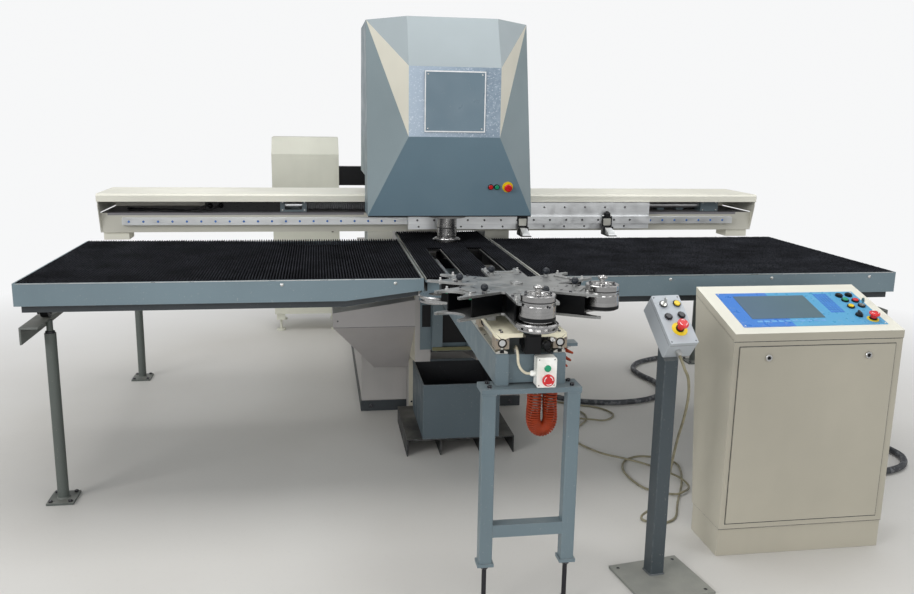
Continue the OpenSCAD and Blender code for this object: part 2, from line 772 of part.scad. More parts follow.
// Drive of the carriage: motor with its coupling bracket, screw and end bearing
module screw_bore(x0, x1, d) {
    translate([x0, screw_y, screw_z]) rotate([0, 90, 0]) cylinder(d = d, h = x1 - x0);
}
module x_drive() {
    top = screw_z + 28;
    color(black) {
        span(motor_x, bracket_x + eps, screw_y - 42, screw_y + 42, core_top_z + seam, top);
        span(motor_x - 60, motor_x + eps, screw_y - 36, screw_y + 36, core_top_z + seam, top - 4);
    }
    color(grey_blue) difference() {
        span(bracket_x, bracket_x + bracket_len, screw_y - 50, screw_y + 50, core_top_z + seam, top);
        span(bracket_x + 25, bracket_x + bracket_len - 25, screw_y - 60, screw_y + 60, core_top_z + 11,
            top + 1);
        screw_bore(bracket_x + 100, bracket_x + bracket_len + 1, screw_d + 2 * seam);
    }
    color(steel) {
        screw_bore(bracket_x + 40, bearing_x + bearing_len - gap, screw_d);
        screw_bore(bracket_x + 25 + gap, bracket_x + 105, screw_d + 8);
    }
    color(grey_blue) difference() {
        span(bearing_x, bearing_x + bearing_len, screw_y - 45, screw_y + 45, core_top_z + seam, top);
        screw_bore(bearing_x - 1, bearing_x + bearing_len + 1, screw_d + 2 * seam);
    }
    color(black) screw_bore(bearing_x + bearing_len - eps, bearing_x + bearing_len + 12, screw_d + 16);
}

// Carriage: plate, clamp bar, nut arm and blocks that run on the rail
module carriage() {
    z0 = 1012;
    color(steel) {
        difference() {
            span(car_left, car_right, car_back - car_t, car_back, z0, lip_z - 3);
            for (x = [car_left + 60:120:car_right - 30]) for (z = [z0 + 14, lip_z - 30])
                translate([x, car_back - car_t - 1, z]) rotate([-90, 0, 0])
                    cylinder(d = 12, h = 10, $fn = 24);
        }
        difference() {
            span(car_left, car_right, car_back - car_t - bar_t, car_back - car_t + eps, bar_z0, bar_z1);
            for (x = [car_left + 50:95:car_right - 30])
                translate([x, car_back - car_t - bar_t - 1, x_rail_z + 9]) rotate([-90, 0, 0])
                    cylinder(d = 13, h = 10, $fn = 24);
        }
        difference() {
            span(nut_x - 50, nut_x + 50, car_back - eps, screw_y + 30, core_top_z + 6, lip_z - 4);
            translate([nut_x - 51, screw_y, screw_z]) rotate([0, 90, 0]) cylinder(d = screw_d + 1, h = 102);
        }
        for (x = [car_left + 20, (car_left + car_right) / 2 - 60, car_right - 140]) difference() {
            span(x, x + 120, car_back - eps, core_front - 3, x_rail_z - 38, x_rail_z + 36);
            along_x(x - 1, x + 121) polygon([
                [core_front + 9, x_rail_z - rail_h / 2 - gap], [core_front + 9, x_rail_z + rail_h / 2 + gap],
                [core_front - 10 - gap, x_rail_z + rail_h / 2 + gap],
                    [core_front - 14 - gap, x_rail_z + rail_h / 2 - 6 + gap],
                [core_front - 20 + gap, x_rail_z + rail_h / 2 - 6 + gap],
                    [core_front - x_rail_t - gap, x_rail_z + rail_h / 2 - 2 + gap],
                [core_front - x_rail_t - gap, x_rail_z - rail_h / 2 + 2 - gap],
                    [core_front - 20 + gap, x_rail_z - rail_h / 2 + 6 - gap],
                [core_front - 14 - gap, x_rail_z - rail_h / 2 + 6 - gap],
                    [core_front - 10 - gap, x_rail_z - rail_h / 2 - gap]]);
        }
    }
}

// Fixed body of one sheet clamp: lower jaw, back and hinge ears
module clamp_body(x) {
    back = car_back - car_t - bar_t;
    color(black) translate([x, 0, 0]) difference() {
        union() {
            span(-clamp_w / 2, clamp_w / 2, jaw_pivot_y + 14, back, sheet_z + 0.6, bar_z1 + 2);
            span(-clamp_w / 2, clamp_w / 2, jaw_tip, jaw_pivot_y + 14 + eps, sheet_z + 0.6, sheet_z + 4);
            for (s = [-1, 1]) span(s * (clamp_w / 2 - 4) - 4, s * (clamp_w / 2 - 4) + 4,
                jaw_pivot_y - 14, jaw_pivot_y + 15,
                sheet_z + 3, jaw_pivot_z + 18);
        }
        translate([-clamp_w, jaw_pivot_y, jaw_pivot_z]) rotate([0, 90, 0])
            cylinder(d = 10.1, h = 2 * clamp_w);
    }
}
module sheet_clamps() {
    for (i = [0, 1]) clamp_body(clamp_x + i * clamp_gap);
}

// Moving upper jaw with its pin and tail
module clamp_jaw(x) {
    w = clamp_w - 17;
    color(steel) translate([x, 0, 0]) {
        along_x(-w / 2, w / 2) polygon([[jaw_tip, sheet_z + 6.5], [jaw_tip + 4, sheet_z + 16],
            [jaw_pivot_y - 16, jaw_pivot_z + 12],
            [jaw_pivot_y + 6, jaw_pivot_z + 12], [jaw_pivot_y + 10, jaw_pivot_z + 6],
                [jaw_pivot_y + 10, jaw_pivot_z - 6],
            [jaw_pivot_y, sheet_z + 6.5]]);
        translate([-clamp_w / 2, jaw_pivot_y, jaw_pivot_z]) rotate([0, 90, 0]) cylinder(d = 10, h = clamp_w);
    }
}
module clamp_jaw_left() { clamp_jaw(clamp_x); }
module clamp_jaw_right() { clamp_jaw(clamp_x + clamp_gap); }

// Punch holder: cylinder, collar steps and stripper flange
module punch_holder() {
    color(steel) difference() {
        union() {
            translate([0, 0, flange_z + 14]) cylinder(d = punch_d, h = 430);
            translate([0, 0, flange_z + 6]) cylinder(d = punch_d - 12, h = 10);
            translate([0, 0, flange_z]) cylinder(d = flange_d, h = 3);
            translate([0, 0, flange_z + 3 - eps]) cylinder(d1 = flange_d, d2 = flange_d - 8, h = 4);
        }
        translate([0, 0, flange_z - 1]) cylinder(d = 60, h = 12);
        for (a = [0:60:300]) rotate([0, 0, a + 30]) translate([punch_d / 2, 0, flange_z + 36])
            rotate([0, 90, 0]) cylinder(d = 9, h = 16, center = true, $fn = 24);
    }
}

// Folded cover of the parts chute under the left table
module chute_cover() {
    color("#bcb8b4") {
        along_y(-jaw_front, chute_rear) polygon([[-612, 588], [-frame_half_w, 588], [-frame_half_w, 724],
            [-612, 663]]);
        hull() {
            span(-612, -frame_half_w, -jaw_front, chute_rear, 587, 588 + eps);
            span(-384, -frame_half_w, chute_rear - 54, chute_rear, 270, 271);
        }
    }
}

// Open steel bin for slugs
module scrap_bin() {
    x = 190;
    y0 = -580;
    y1 = -125;
    z0 = 87;
    z1 = 361;
    color(grey_blue) difference() {
        span(-x, x, y0, y1, z0, z1);
        span(-x + 3, x - 3, y0 + 3, y1 - 3, z0 + 3, z1 + 1);
    }
}

// Folded skid with four runners that carries the bin
module bin_skid() {
    color(black) {
        span(-268, 268, -580, -foot_front - gap, 80, 87);
        for (x = [-268, -103, 97, 262]) span(x, x + 6, -580, -foot_front - gap, 0, 80 + eps);
    }
}

// Guide beam of the tool changer: two tubes with a recessed middle
module changer_beam() {
    tube_w = 46;
    color(grey_blue) {
        for (s = [-1, 1]) translate([s * (guide_w / 2 - tube_w / 2), 0, guide_z - guide_h / 2])
            along_y(-guide_front, -guide_rear) polygon(rounded_points(tube_w, guide_h, 7));
        span(-guide_w / 2 + tube_w - 1, guide_w / 2 - tube_w + 1, -guide_front + 14, -guide_rear,
            guide_z - guide_h + 6, guide_z - 6);
        translate([-43, gland_back - guide_front, guide_z - 6 - eps]) cylinder(d = 14, h = 4);
        span(guide_w / 2 - 1, guide_w / 2 + 97, -hose_y - 25, -hose_y + 25, hose_bracket_z,
            hose_bracket_z + 12);
        span(-frame_half_w + 25, frame_half_w - 25, -guide_rear - 8, -guide_rear, jaw_low_z + 66,
            guide_z - guide_h + 20);
        both_sides() span(65, guide_w / 2 - 1, -guide_rear - bracket_y, -guide_rear - 7, jaw_low_z + 66,
            guide_z - guide_h + 20);
        span(-guide_w / 2 + 1, guide_w / 2 - 1, -guide_rear - bracket_y, -guide_rear - 7,
            jaw_low_z + 66, jaw_low_z + 79);
    }
}

// Guide shafts on their support rails
module guide_shafts() {
    for (s = [-1, 1]) translate([s * shaft_x, 0, 0]) {
        color(steel) translate([0, -guide_rear - 10, shaft_z]) rotate([90, 0, 0])
            cylinder(d = shaft_d, h = guide_front - guide_rear - 10);
        color("silver") along_y(-guide_front + 4, -guide_rear - 10) polygon([[-20, guide_z], [20, guide_z],
            [20, guide_z + 5], [4, guide_z + 12], [4, shaft_z - shaft_d / 2 + 1.5],
                [-4, shaft_z - shaft_d / 2 + 1.5],
            [-4, guide_z + 12], [-20, guide_z + 5]]);
    }
}

// Front stand: two legs, top plate, crossbar, foot plates and levelling screws
module changer_stand() {
    leg_y = -stand_front;
    color(grey_blue) {
        span(-stand_half_w - 3, stand_half_w + 3, leg_y, leg_y + 92, stand_top_z - stand_plate_t,
            stand_top_z);
        for (s = [-1, 1]) translate([s * (stand_half_w - stand_tube / 2), leg_y + stand_tube / 2, 0]) {
            translate([0, 0, stand_foot_z]) linear_extrude(stand_top_z - stand_plate_t - stand_foot_z + eps)
                polygon(rounded_points(stand_tube, stand_tube, 4, 3));
            translate([-28, -26, stand_foot_z - 12]) cube([56, 52, 12 + eps]);
        }
        span(-stand_half_w + stand_tube - 1, stand_half_w - stand_tube + 1, leg_y + 2,
            leg_y + stand_tube - 2, 263, 307);
    }
    color(dark_grey) for (s = [-1, 1]) translate([s * (stand_half_w - stand_tube / 2),
        leg_y + stand_tube / 2, 0]) {
        cylinder(d = 44, h = 8);
        translate([0, 0, 8 - eps]) cylinder(d = 16, h = stand_foot_z - 20 + eps);
        translate([0, 0, stand_foot_z - 24]) cylinder(d = 27, h = 12, $fn = 6);
    }
    color(black) for (x = [-stand_half_w + 26, stand_half_w - 26]) for (y = [20, 66])
        translate([x, leg_y + y, stand_top_z - eps]) cylinder(d = 16, h = 9, $fn = 6);
}

// Slide of the tool changer: plate, bearing blocks, uprights, bridge and hub post
module changer_slide() {
    y0 = -guide_front;
    color(ivory) {
        difference() {
            span(-guide_w / 2, guide_w / 2, y0, y0 + slide_len, slide_z, slide_z + slide_t);
            span(-28, 28, y0 - 1, y0 + 30, slide_z - 1, slide_z + slide_t + 1);
        }
    }
    color("#9a7b62") for (s = [-1, 1]) for (y = [y0, y0 + slide_len - 55]) difference() {
        span(s * shaft_x - 23, s * shaft_x + 23, y, y + 55, block_z0, slide_z + eps);
        translate([s * shaft_x, y - 1, shaft_z]) rotate([-90, 0, 0])
            cylinder(r = shaft_d / 2 + shaft_fit, h = 57);
        span(s * shaft_x - 7, s * shaft_x + 7, y - 1, y + 56, block_z0 - 1, shaft_z);
    }
    color(steel) {
        for (s = [-1, 1]) span(s * 97 - 15, s * 97 + 15, -hub_y - 50, -hub_y + 50,
            slide_z + slide_t - eps, bridge_z + eps);
        span(-112, 112, -hub_y - 50, -hub_y + 50, bridge_z, lower_fork_z - 0.5);
        translate([0, -hub_y, lower_fork_z - 0.5 - eps]) cylinder(d = hub_post_d,
            h = upper_fork_z - lower_fork_z - 2);
    }
}

// Index motor at the front of the slide
module changer_motor() {
    y0 = -guide_front - 24;
    color(black) {
        span(-26.5, 26.5, y0, y0 + 53.5, guide_z + 4, slide_z + slide_t - 1);
        span(-20, 20, y0 + 53, y0 + 110, guide_z + 10, slide_z);
    }
    color(dark_grey) translate([44, y0 + 60, slide_z - 21]) rotate([90, 0, 0]) cylinder(d = 26, h = 50);
    color(dark_grey) span(31, 57, y0 + 30, y0 + 70, slide_z - 20, slide_z);
}

// Outline of a fork plate with one forked arm for each station
module fork_outline() {
    difference() {
        union() {
            circle(r = 150, $fn = 72);
            for (i = [0:stations - 1]) rotate([0, 0, -90 + i * 360 / stations])
                translate([0, -arm_half_w]) square([tip_r - 12, 2 * arm_half_w]);
            for (i = [0:stations - 1]) for (s = [-1, 1]) rotate([0, 0, -90 + i * 360 / stations])
                translate([tip_r - 12 - eps, s * (arm_half_w + fork_gap) / 2 - 6]) square([12, 12]);
        }
        for (i = [0:stations - 1]) rotate([0, 0, -90 + i * 360 / stations]) {
            translate([station_r, 0]) circle(r = fork_gap);
            translate([station_r, -fork_gap]) square([80, 2 * fork_gap]);
            for (s = [-1, 1]) translate([140, s * 24]) circle(d = 9, $fn = 24);
        }
    }
}

// Upper fork plate with hub cap and locking plungers
module upper_star() {
    top = upper_fork_z + fork_t;
    translate([0, -hub_y, 0]) {
        color(steel) translate([0, 0, upper_fork_z]) linear_extrude(fork_t) fork_outline();
        color(ivory) translate([0, 0, top - eps]) cylinder(d = 44, h = 6);
        for (i = [0:stations - 1]) rotate([0, 0, -90 + knob_turn + i * 360 / stations])
            translate([knob_r, 0, top - eps]) {
            color(dark_grey) cylinder(d = 18, h = 6);
            color(dark_grey) cylinder(d = 7, h = 12);
            color(black) translate([0, 0, 18]) sphere(d = 22, $fn = 32);
        }
    }
}

// Lower fork plate with the hub tube
module lower_star() {
    translate([0, -hub_y, 0]) color(steel) difference() {
        union() {
            translate([0, 0, lower_fork_z]) linear_extrude(fork_t) fork_outline();
            translate([0, 0, lower_fork_z + fork_t - eps]) cylinder(d = 66,
                h = upper_fork_z - lower_fork_z - fork_t);
        }
        translate([0, 0, lower_fork_z - 1]) cylinder(r = hub_post_d / 2 + hub_fit, h = 200);
    }
}

// Vertical webs between the fork plates, along both flanks of each arm
module star_webs() {
    z0 = lower_fork_z + fork_t;
    h = upper_fork_z - z0;
    x0 = arm_half_w / tan(180 / stations) + 4;
    color(black) translate([0, -hub_y, z0]) for (i = [0:stations - 1])
        rotate([0, 0, -90 + i * 360 / stations]) {
        for (s = [-1, 1]) translate([x0, s * (arm_half_w - 8) - web_t / 2, 0])
            cube([station_r - 62 - x0 + 20, web_t, h]);
        translate([x0 + 20, -arm_half_w + 12, 0]) cube([web_t, 2 * arm_half_w - 24, h]);
    }
}

// Tool cassette held by its two side grooves
module cassette() {
    g0 = upper_fork_z - 0.5 - cassette_z;
    g1 = upper_fork_z + fork_t + 0.5 - cassette_z;
    rotate_extrude() polygon([[0, 0], [cassette_d / 2 - 8, 0], [cassette_d / 2 - 8, 6],
        [cassette_d / 2 - 3, 8],
        [cassette_d / 2, 14], [cassette_d / 2, g0], [groove_r, g0], [groove_r, g1], [cassette_d / 2 - 2, g1],
        [cassette_d / 2 - 2, cassette_h - 2], [cassette_d / 2 - 4, cassette_h], [38, cassette_h],
            [38, cassette_h - 6],
        [20, cassette_h - 6], [20, cassette_h - 3], [0, cassette_h - 3]]);
    translate([0, 0, cassette_h - 3 - eps]) cylinder(d = 20, h = 20);
    translate([0, 0, cassette_h + 17 - 2 * eps]) cylinder(d1 = 30, d2 = 34, h = 6);
}
module at_station(i) {
    translate([0, -hub_y, 0]) rotate([0, 0, -90 + i * 360 / stations]) translate([station_r, 0, 0])
        children();
}
module tool_cassettes() {
    color(steel) for (i = [0, 1]) at_station(i) translate([0, 0, cassette_z]) cassette();
}

// Die rings in the lower forks
module die_ring() {
    g0 = lower_fork_z - 0.5 - ring_z;
    g1 = lower_fork_z + fork_t + 0.5 - ring_z;
    rotate_extrude() polygon([[30, 0], [die_d / 2 - 5, 0], [die_d / 2 - 2, 3], [die_d / 2 - 2, g0],
        [groove_r, g0],
        [groove_r, g1], [die_d / 2, g1], [die_d / 2, ring_h - 4], [die_d / 2 - 4, ring_h], [30, ring_h]]);
}
module die_rings() {
    color(steel) for (i = [0, 4]) at_station(i) translate([0, 0, ring_z]) die_ring();
}

// Switch box at the front of the guide beam
module switch_box() {
    x0 = 11;
    x1 = 76;
    box_h = 100;
    color("ivory") difference() {
        translate([(x0 + x1) / 2, 0, switch_z]) along_y(-guide_front - 45, -guide_front)
            polygon(rounded_points(x1 - x0, box_h, 6));
        for (x = [x0 + 7, x1 - 7]) for (z = [switch_z - box_h / 2 + 7, switch_z + box_h / 2 - 7])
            translate([x, -guide_front - 46, z])
            rotate([-90, 0, 0]) cylinder(d = 5, h = 6, $fn = 24);
    }
    color("ivory") translate([x0 + 1, -guide_front - 22, switch_z - 7]) rotate([0, -90, 0])
        cylinder(d = 17, h = 14, $fn = 24);
    color(black) on_changer_box(switch_z + 16) collar();
    color(black) on_changer_box(switch_z - 20) collar();
}
module changer_green_button() { color("seagreen") on_changer_box(switch_z + 16) cap(); }
module changer_stop() { color("red") on_changer_box(switch_z - 20) translate([0, 0, -2]) stop_head(); }

// Short lead from the switch box gland up to the beam, beside the front end of the beam
lead_y = -guide_front - 22;
cable_points = [[-3 - gap, lead_y, switch_z - 7], [-22, lead_y, switch_z - 5], [-38, lead_y, 845],
    [-47, lead_y, 866], [-48, lead_y + 3, 886], [-47, lead_y + 20, 902], [-45, lead_y + 42, 908],
    [-43, lead_y + 60, 903], [-43, gland_back - guide_front, 893]];
module switch_cable() {
    color(ivory) tube(concat([[-3 - gap, lead_y, switch_z - 7], [-8, lead_y, switch_z - 7]],
        route([for (i = [1:8]) cable_points[i]], 2), [[-43, gland_back - guide_front,
            guide_z - 2 + gap]]), 9);
}

// Coiled air hose from under the guide beam up to its bracket, as one fat tube
hose_points = [[64, -hose_y, 776], [66, -hose_y, 740], [70, -hose_y, 700], [72, -hose_y, 655],
    [70, -hose_y, 615], [71, -hose_y, 580], [81, -hose_y, 556], [101, -hose_y, 546],
    [121, -hose_y, 556], [131, -hose_y, 580], [130, -hose_y, 615], [128, -hose_y, 655],
    [131, -hose_y, 700], [143, -hose_y, 745], [161, -hose_y, 785], [178, -hose_y, 815],
    [188, -hose_y, 842]];
module air_hose() {
    last = len(hose_points) - 1;
    color("orangered") tube(route(hose_points, 1), 54, 10);
    color("silver") {
        translate(hose_points[0] - [0, 0, eps]) cylinder(d = 14,
            h = stand_top_z - gap - hose_points[0][2] + eps);
        translate(hose_points[last] - [0, 0, eps]) cylinder(d = 14,
            h = hose_bracket_z - gap - hose_points[last][2] + eps);
    }
}

// Desk cabinet: plinth, slanted back, hollow body with a front opening, sloping top
module desk_cabinet() {
    top_rear_z = desk_front_z + desk_depth * tan(desk_slope);
    back_low = -desk_front + desk_back_foot + 12;
    t = 4;
    color(desk_ivory) {
        span(desk_x, desk_x + desk_w, -desk_front + 6, -desk_front + desk_back_foot, 0, plinth_h);
        translate([1180, -desk_front + desk_back_foot - eps, 60]) rotate([-90, 0, 0])
            cylinder(d = 44, h = 8);
        difference() {
            along_x(desk_x, desk_x + desk_w) polygon([[-desk_front, plinth_h - eps],
                [back_low, plinth_h - eps],
                [-desk_front + desk_depth, top_rear_z], [-desk_front, desk_front_z]]);
            along_x(desk_x + t, desk_x + desk_w - t) polygon([[-desk_front + t, plinth_h + t],
                [back_low - t, plinth_h + t],
                [-desk_front + desk_depth - 2 * t, top_rear_z - 12 * t],
                    [-desk_front + t, desk_front_z - 12 * t]]);
            span(desk_x + 40, desk_x + desk_w - 45, -desk_front - 1, -desk_front + t + 1, plinth_h + 45,
                desk_front_z - 70);
        }
        along_x(desk_x, desk_x + desk_w) polygon([[-desk_front - 4, desk_front_z - 31],
            [-desk_front + eps, desk_front_z - 31],
            [-desk_front + eps, desk_front_z], [-desk_front - 4, desk_front_z - 2]]);
    }
}

// Key panel on the desk top with the fixed collars of its controls
module desk_panel() {
    color(panel_blue) translate([0, -desk_front, desk_front_z]) rotate([desk_slope, 0, 0])
        span(panel_x0, panel_x0 + panel_w, panel_v0, panel_v1, 0, panel_plate);
    color(dark_grey) {
        for (i = [0, 1]) on_desk(desk_places[i][0], desk_places[i][1]) cylinder(d = cap_d, h = 9);
        for (p = desk_places) on_desk(p[0], p[1]) collar();
        on_desk(1407, 78) stop_seat(44);
    }
}
module desk_green_button() { color("seagreen") on_desk(desk_places[2][0], desk_places[2][1]) cap(); }
module desk_red_button() { color("red") on_desk(desk_places[3][0], desk_places[3][1]) cap(); }
module desk_yellow_button() { color("gold") on_desk(desk_places[4][0], desk_places[4][1]) cap(); }
module desk_key() { color(steel) on_desk(desk_places[5][0], desk_places[5][1]) key_core(); }
module desk_selector() {
    color(black) on_desk(desk_places[6][0], desk_places[6][1]) {
        translate([0, 0, cap_z]) cylinder(d = cap_d, h = 5);
        translate([-3.5, -11, cap_z + 5 - eps]) cube([7, 22, 9]);
    }
}
module desk_stop() { color("red") on_desk(1407, 78) stop_head(4); }

// Lift-off door of the desk with two quarter-turn locks
module desk_door() {
    y = -desk_front - door_t - gap;
    color(desk_ivory) difference() {
        span(desk_x + 23, desk_x + desk_w - 31, y, y + door_t, 138, 832);
        for (x = [948, 1349]) translate([x, y - 1, 791]) rotate([-90, 0, 0])
            cylinder(d = 20, h = 3, $fn = 32);
    }
    color(dark_grey) for (x = [948, 1349]) translate([x, y + 2 + eps, 791]) rotate([90, 0, 0])
        cylinder(d = 18, h = 4);
}

// Pedestal: foot plate and square post cut to the slope of the box
module pedestal_post() {
    color(grey_blue) {
        on_post() linear_extrude(10) difference() {
            translate([-140, -188]) square([280, 270]);
            for (x = [-115, 115]) for (y = [-163, 57]) translate([x, y]) circle(d = 14);
        }
        difference() {
            on_post() translate([0, 0, 10 - eps]) linear_extrude(880)
                polygon(rounded_points(post_w, post_w, 4, 3));
            on_box(0, 0) span(-120, 120, -60, 300, -box_d, 200);
        }
    }
}

// Sloping switch box on the post
module pedestal_box() {
    color("#c3ccd8") difference() {
        on_box(0, box_l / 2) translate([0, 0, -box_d]) linear_extrude(box_d)
            polygon(rounded_points(box_w, box_l, 5));
        for (u = [-46, 46]) for (v = [9, box_l - 9]) on_box(u, v) translate([0, 0, -4])
            cylinder(d = 6, h = 5, $fn = 24);
    }
    color(black) for (p = box_places) on_box(p[0], p[1]) collar();
    color("gold") on_box(2, 60) stop_seat(stop_plate_d);
    color("silver") on_box(-10, 0) translate([0, eps, -44]) rotate([90, 0, 0])
        cylinder(d = 18, h = 18, $fn = 24);
}
module pedestal_key() { color(steel) on_box(box_places[0][0], box_places[0][1]) key_core(); }
module pedestal_yellow_button() { color("gold") on_box(box_places[1][0], box_places[1][1]) cap(); }
module pedestal_black_left() { color(black) on_box(box_places[2][0], box_places[2][1]) cap(); }
module pedestal_black_right() { color(black) on_box(box_places[3][0], box_places[3][1]) cap(); }
module pedestal_stop() { color("red") on_box(2, 60) stop_head(12); }

module head_red_button() { color("red") on_head(200) cap(); }
module head_green_button() { color("green") on_head(232) cap(); }
module head_stop() { color("red") on_head(289) stop_head(); }

// Cabinet behind the machine, on a frame with levelling feet
module rear_cabinet() {
    x1 = -base_half_w - 68;
    x0 = x1 - 490;
    y0 = base_rear - 140;
    y1 = y0 + 430;
    color("#d8d4c4") {
        along_x(x0, x1) polygon([[y0, 180], [y1, 180], [y1, 1456], [y0 + 130, 1456], [y0, 1338]]);
        span(x0 - 4, x1 + 4, y0 - 4, y1 + 4, 132, 180 + eps);
        for (x = [x0 + 8, x1 - 70]) for (y = [y0 + 4, y1 - 64]) span(x, x + 62, y, y + 60, 86, 132 + eps);
    }
    color(black) span(x1 - eps, -frame_half_w - gap, y0 + 20, y0 + 90, 1110, 1250);
    color(dark_grey) for (x = [x0 + 39, x1 - 39]) for (y = [y0 + 34, y1 - 34]) translate([x, y, 0]) {
        cylinder(d = 66, h = 14);
        translate([0, 0, 14 - eps]) cylinder(d = 18, h = 73);
    }
}

// Cable of the pedestal, from its gland to the floor, round in two loose loops and on to the frame
pedestal_cable_points = [[545, -1865, 830], [554, -1870, 805], [570, -1868, 771], [586, -1845, 700],
    [600, -1790, 598], [606, -1740, 508], [622, -1680, 421], [650, -1590, 300], [672, -1500, 180],
    [668, -1420, 80], [640, -1372, 20], [640, -1390, 6], [700, -1425, 6], [780, -1385, 6],
    [850, -1246, 6], [961, -1032, 6], [1019, -850, 6], [975, -765, 6], [867, -723, 6], [770, -783, 6],
    [730, -916, 6], [760, -1085, 6], [860, -1168, 9], [915, -1165, 18], [966, -1100, 10],
    [955, -1020, 18], [915, -895, 8], [850, -815, 10], [775, -768, 18], [690, -660, 8], [620, -510, 6],
    [630, -385, 6], [707, -266, 6], [770, -180, 6], [783, -80, 6], [740, -10, 6], [690, -60, 6],
    [720, -155, 9], [786, -214, 18], [870, -208, 8], [947, -115, 6], [890, 10, 6], [740, 90, 6],
    [620, 180, 12], [545, 245, 50], [500, 268, 78], [476, 270, 84]];
module pedestal_cable() {
    neck = on_box_point(-10, -18 - gap, -44);
    color("#8a8672") tube(concat([neck, neck + 12 * on_box_down()], route(pedestal_cable_points, 1),
        [[base_half_w + 7 + gap, 270, 84]]), 10);
}

// Corrugated conduit from the back of the desk, in a wide loop, to the frame
conduit_points = [[1180, -1440, 60], [1192, -1400, 50], [1240, -1320, 24], [1380, -1225, 18],
    [1600, -1140, 18], [1850, -1092, 18], [2050, -1042, 18], [2150, -950, 18], [2172, -840, 18],
    [2130, -640, 18], [2060, -300, 18], [2030, 100, 18], [2050, 500, 18], [2030, 860, 18],
    [1900, 1020, 18], [1740, 965, 18], [1580, 915, 18], [1440, 830, 18], [1362, 700, 18],
    [1362, 560, 18], [1399, 400, 18], [1372, 220, 18], [1260, 102, 18], [1090, 50, 18], [920, 60, 18],
    [780, 115, 18], [640, 215, 30], [560, 290, 85], [500, 321, 117], [480, 322, 120]];
module desk_conduit() {
    color(dark_grey) tube(concat([[1180, desk_back_foot + 8 + gap - desk_front, 60]],
        route(conduit_points, 1),
        [[base_half_w + 7 + gap, 322, 120]]), 32);
}

c_frame();
head_cover();
die_holder();
y_rails();
middle_table();
middle_brush();
outer_rails();
rail_legs();
chute_cover();
scrap_bin();
bin_skid();
changer_beam();
guide_shafts();
changer_stand();
switch_box();
air_hose();
switch_cable();
desk_cabinet();
desk_panel();
pedestal_post();
pedestal_box();
rear_cabinet();
pedestal_cable();
desk_conduit();
left_table();
right_table();
side_brushes();
cross_beam();
beam_cover();
x_rail();
x_drive();
carriage();
sheet_clamps();
clamp_jaw_left();
clamp_jaw_right();
punch_holder();
changer_slide();
changer_motor();
upper_star();
lower_star();
star_webs();
tool_cassettes();
die_rings();
desk_door();
head_red_button();
head_green_button();
head_stop();
changer_green_button();
changer_stop();
pedestal_key();
pedestal_yellow_button();
pedestal_black_left();
pedestal_black_right();
pedestal_stop();
desk_green_button();
desk_red_button();
desk_yellow_button();
desk_key();
desk_selector();
desk_stop();
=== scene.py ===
"""Looks of a turret punch press with a rotary tool changer, brush tables and a control desk."""
import json
import random
from itertools import product
from math import cos, hypot, pi, radians, sin, tan

import bmesh
import bpy
from mathutils import Matrix, Vector


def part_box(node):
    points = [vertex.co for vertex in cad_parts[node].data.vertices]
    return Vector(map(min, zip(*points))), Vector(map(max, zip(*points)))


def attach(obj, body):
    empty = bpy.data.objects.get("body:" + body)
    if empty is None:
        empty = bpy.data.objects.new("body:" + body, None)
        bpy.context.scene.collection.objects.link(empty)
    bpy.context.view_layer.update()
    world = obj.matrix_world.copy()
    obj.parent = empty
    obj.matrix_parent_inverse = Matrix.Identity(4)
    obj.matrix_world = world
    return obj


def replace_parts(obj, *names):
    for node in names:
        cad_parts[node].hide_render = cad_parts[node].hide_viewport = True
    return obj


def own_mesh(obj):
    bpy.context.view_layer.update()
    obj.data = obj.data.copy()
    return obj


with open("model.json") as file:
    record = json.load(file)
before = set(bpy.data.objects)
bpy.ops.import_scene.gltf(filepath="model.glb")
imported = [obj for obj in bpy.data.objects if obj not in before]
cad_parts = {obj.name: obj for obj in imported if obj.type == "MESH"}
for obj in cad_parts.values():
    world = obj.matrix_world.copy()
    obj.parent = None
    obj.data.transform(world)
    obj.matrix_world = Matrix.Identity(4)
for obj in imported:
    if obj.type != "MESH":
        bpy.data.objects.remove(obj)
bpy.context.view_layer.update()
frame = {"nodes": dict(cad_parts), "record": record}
scene = bpy.context.scene
scene.view_settings.view_transform = "Standard"
chance = random.Random(7)
X, Y, Z = Vector((1, 0, 0)), Vector((0, 1, 0)), Vector((0, 0, 1))
FRONT = -Y

# Camera, from lines of the machine in the photograph
PHOTO_W = 914
FOCAL_PX = 868.1
SENSOR_MM = 36.0
CAMERA_AT = (-0.677, -4.568, 1.65)
YAW, PITCH, ROLL = (radians(angle) for angle in (9.19, 11.93, 0.95))


def add_camera():
    data = bpy.data.cameras.new("camera")
    data.sensor_width = SENSOR_MM
    data.lens = FOCAL_PX * SENSOR_MM / PHOTO_W
    camera = bpy.data.objects.new("camera", data)
    scene.collection.objects.link(camera)
    turn = Matrix.Rotation(-YAW, 4, "Z") @ Matrix.Rotation(pi / 2 - PITCH, 4, "X")
    camera.matrix_world = Matrix.Translation(CAMERA_AT) @ turn @ Matrix.Rotation(ROLL, 4, "Z")
    scene.camera = camera


add_camera()

# Places shared with the CAD model, in metres
HUB = Vector((0, -1.679, 0))
STATION_R = 0.298
GUIDE_FRONT = -1.913
SHEET_Z = 0.984
DESK_FRONT = -1.708
DESK_FRONT_Z = 0.885
DESK_SLOPE = radians(16.2)
POST_AT = Vector((0.522, -1.796, 0))
POST_TURN = radians(9)
BOX_TURN = radians(6)
BOX_TILT = radians(39.7)
BOX_LOW = Vector((0.024, -0.066, 0.895))


def rgb(red, green, blue):
    """Linear colour of a picture colour given in 0 to 255."""
    parts = [value / 255 for value in (red, green, blue)]
    return tuple(((p + 0.055) / 1.055) ** 2.4 if p > 0.04045 else p / 12.92 for p in parts) + (1.0,)


